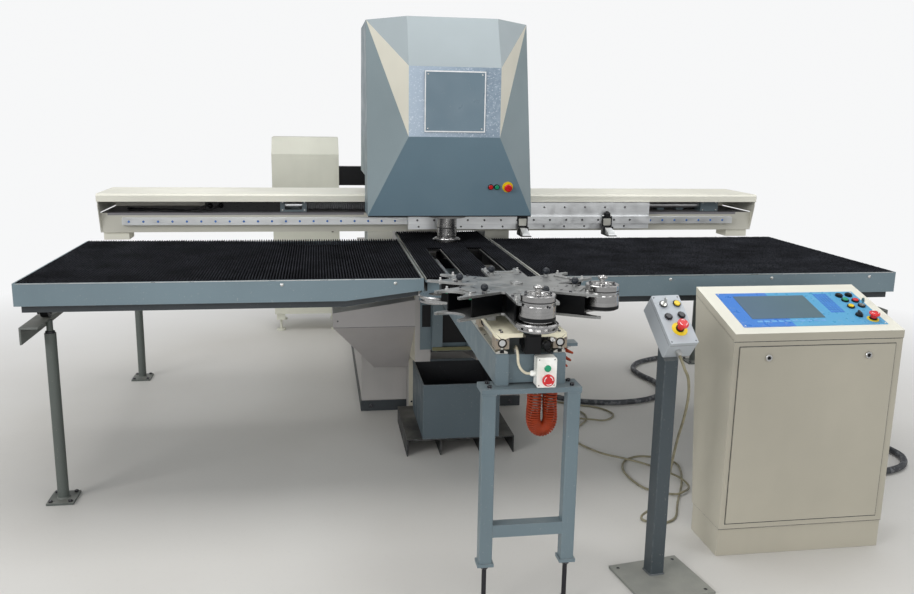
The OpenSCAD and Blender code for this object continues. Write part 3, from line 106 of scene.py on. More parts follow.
def shade(colour, share):
    return tuple(min(1.0, part * share) for part in colour[:3]) + (1.0,)


def smooth(points, steps):
    """Points of a spline through the given points."""
    points = [Vector(p) for p in points]
    out = []
    for i in range(len(points) - 1):
        a, b, c, d = (points[min(max(j, 0), len(points) - 1)] for j in (i - 1, i, i + 1, i + 2))
        for k in range(steps):
            t = k / steps
            out.append(0.5 * (2 * b + (c - a) * t + (2 * a - 5 * b + 4 * c - d) * t * t
                              + (3 * b - a - 3 * c + d) * t ** 3))
    return out + [points[-1]]


def enlist(piece, body):
    """Adds an object to the scene as a piece that rides on a body."""
    scene.collection.objects.link(piece)
    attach(piece, body)
    return piece


def curve_piece(name, points, diameter, body, slot, finish=""):
    data = bpy.data.curves.new(name, "CURVE")
    data.dimensions = "3D"
    data.bevel_depth = diameter / 2
    data.bevel_resolution = 3
    data.use_fill_caps = True
    spline = data.splines.new("POLY")
    spline.points.add(len(points) - 1)
    for target, p in zip(spline.points, points):
        target.co = (*p, 1)
    data.materials.append(FINISH[finish or slot])
    return enlist(bpy.data.objects.new(name, data), body)


def from_mm(*flat):
    """Points from a flat row of x, y and z in millimetres."""
    return [tuple(part / 1000 for part in flat[i:i + 3]) for i in range(0, len(flat), 3)]


def path_length(points):
    return sum((Vector(b) - Vector(a)).length for a, b in zip(points, points[1:]))


class Nodes:
    """Builds the nodes of one shader tree."""

    def __init__(self, tree):
        self.tree = tree

    def put(self, socket, value):
        """Sets a socket, or links another node's output to it."""
        if isinstance(value, bpy.types.NodeSocket):
            self.tree.links.new(value, socket)
        else:
            socket.default_value = value

    def new(self, kind, inputs=(), **settings):
        """A node with its settings, and with its inputs given in order or by name."""
        node = self.tree.nodes.new("ShaderNode" + kind)
        for key, value in settings.items():
            setattr(node, key, value)
        for key, value in inputs.items() if isinstance(inputs, dict) else enumerate(inputs):
            self.put(node.inputs[key], value)
        return node

    def ramp(self, value, low, high, start=0.0, end=1.0):
        return self.new("MapRange", (value, low, high, start, end)).outputs["Result"]

    def math(self, kind, *values):
        return self.new("Math", values, operation=kind).outputs[0]


class Shader(Nodes):
    """A procedural material, built node by node round one Principled shader."""

    def __init__(self, name, rough=0.5, metal=0.0):
        self.material = bpy.data.materials.new(name)
        self.material.use_nodes = True
        super().__init__(self.material.node_tree)
        self.shader = self.tree.nodes["Principled BSDF"]
        self.give("Roughness", rough)
        self.give("Metallic", metal)
        self.place = self.new("TexCoord").outputs["Object"]

    def give(self, name, value):
        """Sets or links an input of the Principled shader."""
        self.put(self.shader.inputs[name], value)

    def noise(self, scale, detail=3.0, stretch=(1, 1, 1)):
        move = self.new("VectorMath", (self.place, stretch), operation="MULTIPLY")
        return self.new("TexNoise", {"Vector": move.outputs[0], "Scale": scale, "Detail": detail}).outputs["Fac"]

    def blots(self, scale, detail, low, high, most=1.0, least=0.0, stretch=(1, 1, 1)):
        """Noise spread from least at the level low to most at the level high."""
        return self.ramp(self.noise(scale, detail, stretch), low, high, least, most)

    def mix(self, share, a, b):
        return self.new("Mix", {0: share, 6: a, 7: b}, data_type="RGBA").outputs[2]

    def part(self, axis, vector=None):
        return self.new("SeparateXYZ", (vector or self.place,)).outputs[axis]

    def up(self):
        """1 where the surface faces up."""
        return self.ramp(self.part(2, self.new("NewGeometry").outputs["Normal"]), 0.35, 0.95)

    def edges(self, radius):
        """1 along the edges of the piece."""
        bevel = self.new("Bevel", {"Radius": radius}, samples=4).outputs[0]
        normal = self.new("NewGeometry").outputs["Normal"]
        dot = self.new("VectorMath", (bevel, normal), operation="DOT_PRODUCT")
        return self.ramp(dot.outputs["Value"], 0.995, 0.9)

    def bump(self, height, distance, strength):
        node = self.new("Bump", {"Height": height, "Distance": distance, "Strength": strength})
        self.give("Normal", node.outputs[0])

    def colour(self, value):
        self.give("Base Color", value)

    def rough(self, scale, detail, low, high):
        self.give("Roughness", self.blots(scale, detail, 0.3, 0.7, high, low))


DUST = rgb(205, 200, 188)
BARE = rgb(150, 152, 152)


def painted(name, colour, rough, dust, edge_mark, specks, grime):
    """Sprayed enamel with faint patches, dirt, dust on top, specks and worn edges."""
    s = Shader(name)
    base = s.mix(s.blots(1.6, 4, 0.3, 0.7), shade(colour, 0.9), shade(colour, 1.08))
    base = s.mix(s.blots(5.0, 5, 0.52, 0.8, grime, stretch=(1, 1, 0.25)), base, shade(colour, 0.55))
    base = s.mix(s.math("MULTIPLY", s.up(), s.blots(7.0, 5, 0.3, 0.75, dust)), base, DUST)
    base = s.mix(s.blots(170, 2, 0.7, 0.76, specks), base, DUST)
    worn = s.math("MULTIPLY", s.edges(0.003), s.blots(40, 3, 0.45, 0.6, edge_mark))
    s.colour(s.mix(worn, base, BARE))
    s.rough(11, 4, rough - 0.07, rough + 0.13)
    s.bump(s.noise(420, 2), 0.00025, 0.5)
    return s.material


def steel(name, colour, rough=0.24, stains=0.12, stretch=(1, 1, 1), scuffs=0.06):
    """Machined steel: fine tool marks, a few dull stains, and edges painted near white, a painted highlight along
    with rubbed metal.
    """
    s = Shader(name, rough, 1.0)
    tone = s.mix(s.blots(26, 3, 0.35, 0.65, stretch=stretch), shade(colour, 0.92), shade(colour, 1.06))
    tone = s.mix(s.blots(13, 4, 0.56, 0.78, stains), tone, rgb(104, 98, 88))
    # Edges painted near white: a painted highlight, partly rubbed bright metal.
    s.colour(s.mix(s.ramp(s.edges(0.0012), 0, 1, 0.0, 0.7), tone, rgb(238, 239, 240)))
    s.rough(18, 4, rough - scuffs, rough + 1.5 * scuffs)
    s.bump(s.noise(140, 2, stretch), 0.00002, 0.25)
    return s.material


def plastic(name, colour, rough=0.35, coat=0.0, dust=0.12, shine=0.5):
    """Moulded plastic with a faint grain, dust on top, and edges painted lighter, a painted highlight along with
    rubbing.
    """
    s = Shader(name, rough)
    tone = s.mix(s.blots(24, 3, 0.35, 0.65), shade(colour, 0.9), shade(colour, 1.1))
    tone = s.mix(s.math("MULTIPLY", s.up(), s.blots(60, 4, 0.4, 0.7, dust)), tone, DUST)
    # Edges painted lighter: a painted highlight, partly rubbing.
    s.colour(s.mix(s.ramp(s.edges(0.0012), 0, 1, 0.0, 0.25), tone, shade(colour, 1.5)))
    s.rough(70, 3, rough - 0.05, rough + 0.1)
    s.give("Coat Weight", coat)
    s.give("Specular IOR Level", shine)
    s.bump(s.noise(900, 2), 0.00008, 0.4)
    return s.material


def hammered():
    """Hammered steel blue of the head's middle panel with bright specks, and painted shade that makes it paler on
    its left and darker to its right.
    """
    s = Shader("pale_panel", 0.36)
    # Painted shade across the panel: paler on its left, darker to its right.
    tone = s.mix(s.ramp(s.part(0), -0.21, 0.16), rgb(170, 186, 202), rgb(132, 150, 166))
    tone = s.mix(s.blots(55, 4, 0.45, 0.7, 0.35), tone, rgb(178, 192, 206))
    s.colour(s.mix(s.blots(130, 2, 0.6, 0.66, 0.55), tone, rgb(220, 228, 236)))
    s.rough(40, 3, 0.3, 0.45)
    s.bump(s.noise(160, 2), 0.0004, 0.5)
    return s.material


def panel_foil():
    """Printed foil of the key panel: deeper blue on its left, cyan on its right."""
    s = Shader("desk_blue", 0.3)
    tone = s.mix(s.ramp(s.part(0), 1.07, 1.074), rgb(64, 124, 206), rgb(88, 164, 204))
    tone = s.mix(s.blots(9, 3, 0.35, 0.7, 0.2), tone, rgb(76, 140, 196))
    s.colour(s.mix(s.blots(60, 3, 0.6, 0.75, 0.2), tone, DUST))
    s.rough(40, 3, 0.25, 0.4)
    s.bump(s.noise(300, 2), 0.00005, 0.4)
    return s.material


def screen_glass():
    """Dark flat screen, a little greener to its right."""
    s = Shader("glass", 0.32)
    tone = s.mix(s.ramp(s.part(0), 0.93, 1.21), rgb(84, 108, 126), rgb(88, 112, 120))
    s.colour(s.mix(s.blots(12, 2, 0.4, 0.7, 0.15), tone, rgb(70, 92, 110)))
    s.rough(5, 2, 0.3, 0.36)
    return s.material


def bristle():
    """Black nylon bristles with a painted highlight on their tips, and dust specks."""
    s = Shader("bristle", 0.85)
    s.give("Specular IOR Level", 0.08)
    fibres = s.noise(900, 2, (1, 1, 0.06))
    tone = s.mix(s.ramp(fibres, 0.35, 0.65), rgb(3, 3, 4), rgb(15, 16, 19))
    # Painted highlight: the top few millimetres of the tufts are lighter.
    lit_tip = s.ramp(s.part(2), SHEET_Z - 0.0048, SHEET_Z - 0.0015)
    tone = s.mix(s.math("MULTIPLY", lit_tip, s.blots(6, 5, 0.3, 0.7, 0.75, 0.2)), tone, rgb(62, 64, 70))
    s.colour(s.mix(s.blots(240, 1, 0.82, 0.84, 0.5), tone, DUST))
    s.bump(fibres, 0.0008, 0.8)
    return s.material


def rubber(name, colour, rough=0.55, wrap=0.0):
    """Cable jacket or hose, a little dirty, with a wound wrap where asked."""
    s = Shader(name, rough)
    tone = s.mix(s.blots(30, 4, 0.35, 0.7), shade(colour, 0.75), shade(colour, 1.15))
    if wrap:
        tone = s.mix(s.blots(46, 4, 0.5, 0.58, wrap), tone, rgb(130, 133, 136))
    s.colour(tone)
    s.rough(50, 3, rough - 0.1, rough + 0.15)
    s.bump(s.noise(260, 3), 0.0003, 0.5)
    return s.material


# Colour in 0 to 255, then roughness, dust, wear, specks and grime
PAINTS = {
    "frame_paint": (176, 173, 170, 0.5, 0.2, 0.5, 0.3, 0.3),
    "head_paint": (108, 126, 134, 0.36, 0.1, 0.25, 0.15, 0.08),
    "table_paint": (112, 130, 138, 0.42, 0.2, 0.5, 0.35, 0.15),
    "angle_paint": (104, 108, 104, 0.5, 0.3, 0.7, 0.3, 0.4),
    "leg_paint": (86, 92, 88, 0.45, 0.3, 0.6, 0.3, 0.35),
    "chute_paint": (182, 178, 177, 0.45, 0.1, 0.4, 0.5, 0.2),
    "bin_paint": (74, 87, 94, 0.42, 0.35, 0.6, 0.2, 0.3),
    "skid_paint": (26, 28, 29, 0.5, 0.3, 0.8, 0.3, 0.3),
    "changer_paint": (104, 120, 127, 0.38, 0.2, 0.5, 0.3, 0.2),
    "desk_paint": (174, 169, 154, 0.5, 0.1, 0.2, 0.1, 0.1),
    "post_paint": (62, 71, 76, 0.42, 0.3, 0.6, 0.3, 0.2),
    "pedestal_paint": (180, 186, 191, 0.38, 0.05, 0.3, 0.1, 0.08),
    "cabinet_paint": (206, 206, 192, 0.5, 0.2, 0.3, 0.15, 0.2),
    "beam_paint": (230, 228, 214, 0.45, 0.15, 0.4, 0.25, 0.12),
    "slide_ivory": (250, 242, 214, 0.45, 0.1, 0.6, 0.3, 0.4),
    "dark_metal": (48, 54, 58, 0.5, 0.3, 0.5, 0.2, 0.3),
    "beige_panel": (226, 222, 206, 0.4, 0.05, 0.2, 0.1, 0.05),
    # Darker copy of the beam paint for the core's front faces: painted shade.
    "core_face": (196, 194, 182, 0.5, 0.15, 0.4, 0.3, 0.3),
    # Lighter copy of the head paint for the head's front flanks: painted light.
    "flank_panel": (130, 144, 148, 0.36, 0.05, 0.2, 0.1, 0.08),
    "desk_side": (200, 195, 179, 0.5, 0.1, 0.2, 0.1, 0.1),
    "desk_lid": (228, 226, 212, 0.42, 0.05, 0.2, 0.1, 0.05),
    "plate_grey": (132, 134, 128, 0.5, 0.3, 0.5, 0.3, 0.3),
    # Near black for the inside faces of the scrap bin: painted shade.
    "bin_inside": (34, 36, 40, 0.5, 0.1, 0.3, 0.2, 0.3),
    "inside_grey": (128, 126, 130, 0.6, 0.2, 0.1, 0.2, 0.4),
    "plate_panel": (106, 128, 141, 0.34, 0.02, 0.1, 0.2, 0.05),
    "top_panel": (160, 170, 173, 0.36, 0.05, 0.2, 0.1, 0.05),
    "low_panel": (110, 134, 147, 0.36, 0.05, 0.2, 0.1, 0.08),
    "block_paint": (150, 138, 122, 0.42, 0.1, 0.7, 0.2, 0.4),
    "olive": (112, 110, 74, 0.5, 0.2, 0.4, 0.2, 0.4),
    "cream": (208, 204, 186, 0.45, 0.1, 0.5, 0.2, 0.3)}
# Colour, then roughness, stains, stretch of the tool marks and scuffs
STEELS = {
    "tool_steel": (190, 189, 188, 0.19, 0.15, (0.3, 0.3, 3)),
    "rail_steel": (214, 216, 216, 0.36, 0.08, (0.1, 1, 1)),
    "carriage_steel": (240, 242, 243, 0.36, 0.06, (0.15, 1, 1)),
    "star_steel": (158, 159, 158, 0.42, 0.5, (1, 1, 1), 0.1),
    "key_steel": (200, 200, 196),
    "zinc": (212, 212, 210, 0.28),
    "bolt_dark": (64, 64, 68, 0.4),
    "aluminium": (210, 209, 200, 0.4, 0.1)}
# Colour, then roughness, coat, dust and shine
PLASTICS = {
    "box_ivory": (248, 249, 240, 0.4),
    "drive_black": (11, 12, 15, 0.3, 0, 0.03, 0.3),
    "clamp_black": (16, 17, 20, 0.4, 0, 0.06, 0.3),
    "web_black": (8, 9, 11, 0.35, 0, 0.03, 0.15),
    "button_red": (206, 30, 34, 0.3, 0.3, 0.03),
    "stop_red": (214, 32, 38, 0.3, 0.3, 0.03),
    "button_green": (22, 150, 106, 0.3, 0.3, 0.03),
    "button_yellow": (236, 200, 24, 0.3, 0.3, 0.03),
    "button_black": (34, 36, 42, 0.3, 0.3, 0.03),
    "black_plastic": (12, 13, 15, 0.4, 0, 0.06, 0.25),
    "yellow_plate": (240, 208, 20),
    "white_mark": (240, 240, 240, 0.4),
    "blue_cap": (60, 110, 180),
    "knob": (30, 35, 42, 0.3, 0, 0.03, 0.4),
    "green_pin": (28, 130, 90),
    "bellows": (142, 143, 145, 0.5),
    "keys_blue": (60, 118, 196, 0.35, 0, 0),
    "keys_pale": (104, 164, 214, 0.4, 0, 0)}
# Colour, then roughness and wrap
JACKETS = {
    "hose_orange": (158, 52, 0, 0.6),
    "cable_ivory": (222, 214, 190, 0.45),
    "cable_grey": (136, 130, 106, 0.45),
    "conduit_grey": (50, 53, 58, 0.5, 0.45)}
FINISH = {name: make(name, rgb(*row[:3]), *row[3:])
          for make, table in ((painted, PAINTS), (steel, STEELS), (plastic, PLASTICS), (rubber, JACKETS))
          for name, row in table.items()}
FINISH.update(brush=bristle(), desk_blue=panel_foil(), pale_panel=hammered(), glass=screen_glass())
BLACK, DARK, ZINC, BOLT = "black_plastic", "dark_metal", "zinc", "bolt_dark"


def finish_nodes():
    for part in frame["record"]["subparts"]:
        for slot in frame["nodes"][part["node"]].material_slots:
            slot.material = FINISH[part["material_slot"]]


def paint_where(node, finish, test):
    """Gives the faces of a CAD node whose centre and normal pass the test another finish."""
    mesh = frame["nodes"][node].data
    mesh.materials.append(FINISH[finish])
    index = len(mesh.materials) - 1
    for face in mesh.polygons:
        if test(face.center, face.normal):
            face.material_index = index


def paint_near(node, finish, at, radius, out, low=-1.0, high=1.0):
    """The same for faces within a radius of a point, and between low and high along out from it."""
    paint_where(node, finish, lambda c, n: (c - at).length < radius and low < (c - at).dot(out) < high)


def polar(radius, degrees, z=0.0):
    return Vector((radius * cos(radians(degrees)), radius * sin(radians(degrees)), z))


def corners(x0, x1, y0, y1, cut):
    """Corners of a rectangle, each cut off where asked."""
    if not cut:
        return (x0, y0), (x1, y0), (x1, y1), (x0, y1)
    return ((x0 + cut, y0), (x1 - cut, y0), (x1, y0 + cut), (x1, y1 - cut), (x1 - cut, y1), (x0 + cut, y1),
            (x0, y1 - cut), (x0, y0 + cut))


def rim(x0, x1, y0, y1, wide):
    """Four strips along the inside of a rectangle, each as its low and high x, then y."""
    low, high = y0 + wide, y1 - wide
    return (x0, x1, y0, low), (x0, x1, high, y1), (x0, x0 + wide, low, high), (x1 - wide, x1, low, high)


finish_nodes()
SHARP_ANGLE, BEVEL_ANGLE = radians(38), radians(40)


class Piece:
    """Geometry of one scene piece, collected in a bmesh. Its materials are names in FINISH."""

    def __init__(self, name, body, slot, *materials):
        self.name, self.body, self.slot = name, body, slot
        self.materials = materials
        self.mesh = bmesh.new()

    def faces(self, verts, faces, material=0):
        made = [self.mesh.verts.new(v) for v in verts]
        for f in faces:
            face = self.mesh.faces.new([made[i] for i in f])
            face.material_index = material

    def box(self, x0, x1, y0, y1, z0, z1, material=0, chamfer=0.0):
        cut = chamfer and min(chamfer, (x1 - x0) / 2.01, (z1 - z0) / 2.01)
        self.prism([Vector((a, y0, b)) for a, b in corners(x0, x1, z0, z1, cut)], (0, y1 - y0, 0), material)

    def prism(self, outline, along, material=0):
        """A flat outline drawn along a vector. Its points run anticlockwise seen against that vector."""
        along = Vector(along)
        n = len(outline)
        verts = [Vector(p) for p in outline] + [Vector(p) + along for p in outline]
        sides = [(i, (i + 1) % n, n + (i + 1) % n, n + i) for i in range(n)]
        self.faces(verts, [tuple(range(n))[::-1], tuple(range(n, 2 * n))] + sides, material)

    def lathe(self, at, axis, profile, sides=24, material=0):
        """Turned form: profile is a flat row of radius and height in millimetres, along axis from at."""
        points = [(r / 1000, h / 1000) for r, h in zip(profile[::2], profile[1::2])]
        self.turned(at, axis, points, sides, material)

    def turned(self, at, axis, profile, sides=24, material=0):
        """Turned form from a list of (radius, height) in metres. A closed one is a ring."""
        ring = profile[0] == profile[-1]
        turn = Vector(axis).to_track_quat("Z", "Y").to_matrix()
        verts, faces = [], []
        for r, h in profile:
            for k in range(sides):
                a = 2 * pi * k / sides
                verts.append(Vector(at) + turn @ Vector((r * cos(a), r * sin(a), h)))
        for low, k in product(range(0, (len(profile) - 1) * sides, sides), range(sides)):
            m = (k + 1) % sides
            faces.append((low + k, low + m, low + sides + m, low + sides + k))
        if profile[0][0] > 0 and not ring:
            faces.append(tuple(range(sides))[::-1])
        if profile[-1][0] > 0 and not ring:
            last = (len(profile) - 1) * sides
            faces.append(tuple(range(last, last + sides)))
        self.faces(verts, faces, material)

    def screw(self, at, axis, d, head, material=0):
        """Cap screw with a socket: d across its head, standing head above at."""
        r = d / 2
        self.turned(at, axis, [(r, 0), (r, head * 0.8), (r * 0.9, head), (r * 0.55, head), (r * 0.5, head * 0.35),
                               (0.0001, head * 0.35)], 12, material)

    def nut(self, at, axis, d, head, material=0):
        self.turned(at, axis, [(d / 2, 0), (d / 2, head * 0.85), (d * 0.42, head), (d * 0.2, head),
                               (d * 0.2, head * 1.25), (0.0001, head * 1.3)], 6, material)

    def place(self, at, across, up, size, thick, material=0, chamfer=0.0):
        """A plate of size (w, h) centred on at, standing thick off its face towards across x up."""
        across, up = Vector(across).normalized(), Vector(up).normalized()
        w, h = size[0] / 2, size[1] / 2
        outline = [Vector(at) + across * a + up * b for a, b in corners(-w, w, -h, h, chamfer)]
        self.prism(outline, across.cross(up) * thick, material)

    def done(self, bevel=0.0):
        mesh = bpy.data.meshes.new(self.name)
        bmesh.ops.remove_doubles(self.mesh, verts=self.mesh.verts, dist=1e-6)
        bmesh.ops.recalc_face_normals(self.mesh, faces=self.mesh.faces)
        self.mesh.to_mesh(mesh)
        self.mesh.free()
        for name in self.materials:
            mesh.materials.append(FINISH[name])
        for face in mesh.polygons:
            face.use_smooth = True
        mesh.set_sharp_from_angle(angle=SHARP_ANGLE)
        piece = bpy.data.objects.new(self.name, mesh)
        if bevel:
            soften = piece.modifiers.new("soften", "BEVEL")
            soften.width = bevel
            soften.segments = 2
            soften.limit_method = "ANGLE"
            soften.angle_limit = BEVEL_ANGLE
        return enlist(piece, self.body)


# Cords, through given points, the same ones as in the CAD source
LEAD_Y = GUIDE_FRONT - 0.022
HOSE_Y = -1.7


def cord(name, line, diameter, slot, node):
    piece = curve_piece(name, line, diameter, "machine", slot)
    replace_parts(piece, node)


def lead():
    """Lead of the changer's switch box, from its gland to the fitting on the beam."""
    y = LEAD_Y
    points = [(-0.003, y, 0.829), (-0.008, y, 0.829), (-0.022, y, 0.831), (-0.038, y, 0.845), (-0.047, y, 0.866),
              (-0.048, y + 0.003, 0.886), (-0.047, y + 0.02, 0.902), (-0.045, y + 0.042, 0.908),
              (-0.043, y + 0.06, 0.903), (-0.043, y + 0.067, 0.893), (-0.043, y + 0.067, 0.8885)]
    piece = curve_piece("switch_lead", smooth(points, 3), 0.009, "machine", "cable_ivory")
    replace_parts(piece, "switch_cable")
    glands = Piece("lead_glands", "machine", "cable_ivory", "box_ivory", ZINC)
    glands.lathe((0.012, y, 0.829), (-1, 0, 0), (8.5, 0, 8.5, 7, 7.5, 7, 9.5, 8, 9.5, 14.5, 6.5, 19, 4.8, 19), 12)
    glands.lathe((-0.043, y + 0.067, 0.884), Z, (9, 0, 9, 6, 7.5, 7, 7.5, 11, 4.8, 13), 6, 1)
    glands.done()


def coil_hose():
    """Coiled air hose: a helix wound round a hanging loop."""
    line = [(0.064, 0.782), (0.064, 0.776), (0.066, 0.74), (0.07, 0.7), (0.072, 0.655), (0.07, 0.615),
            (0.071, 0.58), (0.081, 0.556), (0.101, 0.546), (0.121, 0.556), (0.131, 0.58), (0.13, 0.615),
            (0.128, 0.655), (0.131, 0.7), (0.143, 0.745), (0.161, 0.785), (0.178, 0.815), (0.188, 0.842),
            (0.188, 0.858)]
    path = smooth([(x, HOSE_Y, z) for x, z in line], 60)
    # Windings: pitch at the start and its growth over the last share, and the share that each end takes to widen
    coil_r, hose_d, ends, pitch, loose_from, growth = 0.0232, 0.0074, 0.05, 0.0082, 0.72, 0.08
    run, total, angle, points = 0.0, path_length(path), 0.0, []
    for i, p in enumerate(path):
        if i:
            run += (p - path[i - 1]).length
        share = run / total
        along = (path[min(i + 1, len(path) - 1)] - path[max(i - 1, 0)]).normalized()
        side = along.cross(Y).normalized()
        wide = coil_r * min(1.0, share / ends, (1 - share) / ends)
        angle += 2 * pi * total / (len(path) - 1) / (pitch + max(0.0, share - loose_from) * growth)
        points.append(p + wide * (cos(angle) * side + sin(angle) * Y))
    cord("coil_hose", points, hose_d, "hose_orange", "air_hose")
    fittings = Piece("hose_fittings", "machine", "tool_steel", ZINC)
    for x, z in ((0.064, 0.782), (0.188, 0.858)):
        fittings.lathe((x, HOSE_Y, z), -Z, (9, 0, 9, 6, 7, 7, 7, 12, 5, 13), 6)
    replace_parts(fittings.done(), "air_hose")


PEDESTAL_CABLE = from_mm(
    545, -1865, 830, 554, -1870, 805, 570, -1868, 771, 586, -1845, 700, 600, -1790, 598, 606, -1740, 508, 622,
    -1680, 421, 650, -1590, 300, 672, -1500, 180, 668, -1420, 80, 640, -1372, 20, 640, -1390, 6, 700, -1425, 6,
    780, -1385, 6, 850, -1246, 6, 961, -1032, 6, 1019, -850, 6, 975, -765, 6, 867, -723, 6, 770, -783, 6, 730,
    -916, 6, 760, -1085, 6, 860, -1168, 9, 915, -1165, 18, 966, -1100, 10, 955, -1020, 18, 915, -895, 8, 850, -815,
    10, 775, -768, 18, 690, -660, 8, 620, -510, 6, 630, -385, 6, 707, -266, 6, 770, -180, 6, 783, -80, 6, 740, -10,
    6, 690, -60, 6, 720, -155, 9, 786, -214, 18, 870, -208, 8, 947, -115, 6, 890, 10, 6, 740, 90, 6, 620, 180, 12,
    545, 245, 50, 500, 268, 78, 476, 270, 84, 459.3, 270, 84)
CONDUIT = from_mm(
    1180, -1466.7, 60, 1180, -1440, 60, 1192, -1400, 50, 1240, -1320, 24, 1380, -1225, 18, 1600, -1140, 18, 1850,
    -1092, 18, 2050, -1042, 18, 2150, -950, 18, 2172, -840, 18, 2130, -640, 18, 2060, -300, 18, 2030, 100, 18,
    2050, 500, 18, 2030, 860, 18, 1900, 1020, 18, 1740, 965, 18, 1580, 915, 18, 1440, 830, 18, 1362, 700, 18, 1362,
    560, 18, 1399, 400, 18, 1372, 220, 18, 1260, 102, 18, 1090, 50, 18, 920, 60, 18, 780, 115, 18, 640, 215, 30,
    560, 290, 85, 500, 321, 117, 480, 322, 120, 459.3, 322, 120)


def on_box(u, v, w=0.0):
    """A point on the pedestal's sloping box: u across, v up the slope, w out of its face."""
    local = BOX_LOW + Vector((u, v * cos(BOX_TILT) - w * sin(BOX_TILT), v * sin(BOX_TILT) + w * cos(BOX_TILT)))
    return POST_AT + Matrix.Rotation(BOX_TURN, 3, "Z") @ local


BOX_DOWN = (on_box(0, -1) - on_box(0, 0)).normalized()
BOX_OUT = (on_box(0, 0, 1) - on_box(0, 0)).normalized()


def floor_cords():
    neck = on_box(-0.01, -0.0183, -0.044)
    line = smooth([neck, neck + BOX_DOWN * 0.012] + PEDESTAL_CABLE, 4)
    cord("pedestal_lead", line, 0.01, "cable_grey", "pedestal_cable")
    cord("desk_conduit_wrap", smooth(CONDUIT, 4), 0.032, "conduit_grey", "desk_conduit")


lead()
coil_hose()
floor_cords()


# Brush tables
def tuft_field(name, body, node, fields, floor_z, step_x, step_y, skip=None):
    """Rows of flared bristle tufts on a thin black base strip."""
    verts, faces = [], []
    for x0, x1, y0, y1 in fields:
        nx, ny = round((x1 - x0) / step_x), round((y1 - y0) / step_y)
        for i, j in product(range(nx), range(ny)):
            cx, cy = x0 + (i + 0.5) * (x1 - x0) / nx, y0 + (j + 0.5) * (y1 - y0) / ny
            if skip and skip(cx, cy):
                continue
            top = SHEET_Z - chance.uniform(0.0, 0.002)
            high = chance.uniform(0.0032, 0.0038)
            tx, ty = cx + chance.uniform(-0.0008, 0.0008), cy + chance.uniform(-0.0008, 0.0008)
            n = len(verts)
            for half_x, half_y, z in ((0.0024, 0.0024, floor_z), (high, 0.0056, top - 0.005),
                                      (0.0013, 0.0026, top)):
                verts += [(tx + a * half_x, ty + b * half_y, z) for a, b in ((-1, -1), (1, -1), (1, 1), (-1, 1))]
            for k in range(4):
                m = (k + 1) % 4
                faces += [(n + k, n + m, n + 4 + m, n + 4 + k), (n + 4 + k, n + 4 + m, n + 8 + m, n + 8 + k)]
            faces.append((n + 8, n + 9, n + 10, n + 11))
    mesh = bpy.data.meshes.new(name)
    mesh.from_pydata(verts, [], faces)
    mesh.materials.append(FINISH["brush"])
    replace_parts(enlist(bpy.data.objects.new(name, mesh), body), node)
    if not skip:
        base = Piece(name + "_base", body, "brush", "brush")
        for x0, x1, y0, y1 in fields:
            base.box(x0, x1, y0, y1, floor_z - 0.0008, floor_z + 0.003)
        base.done()


def brush_tables():
    low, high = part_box("side_brushes")
    tuft_field("side_tufts", "cross_axis", "side_brushes",
               [(low.x, -0.258, low.y, high.y), (0.258, high.x, low.y, high.y)], 0.9488, 0.012, 0.0135)
    low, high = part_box("middle_brush")
    strips = [(-0.064, 0.064, low.y, -0.235), (-0.237, -0.14, low.y, -0.235), (0.14, 0.237, low.y, -0.235)]
    tuft_field("middle_tufts", "machine", "middle_brush", strips, 0.9708, 0.0115, 0.0125)
    tuft_field("rear_tufts", "machine", "middle_brush", [(-0.237, 0.237, -0.231, high.y)], 0.9708, 0.0115, 0.0125,
               lambda x, y: x * x + y * y < 0.066 ** 2)


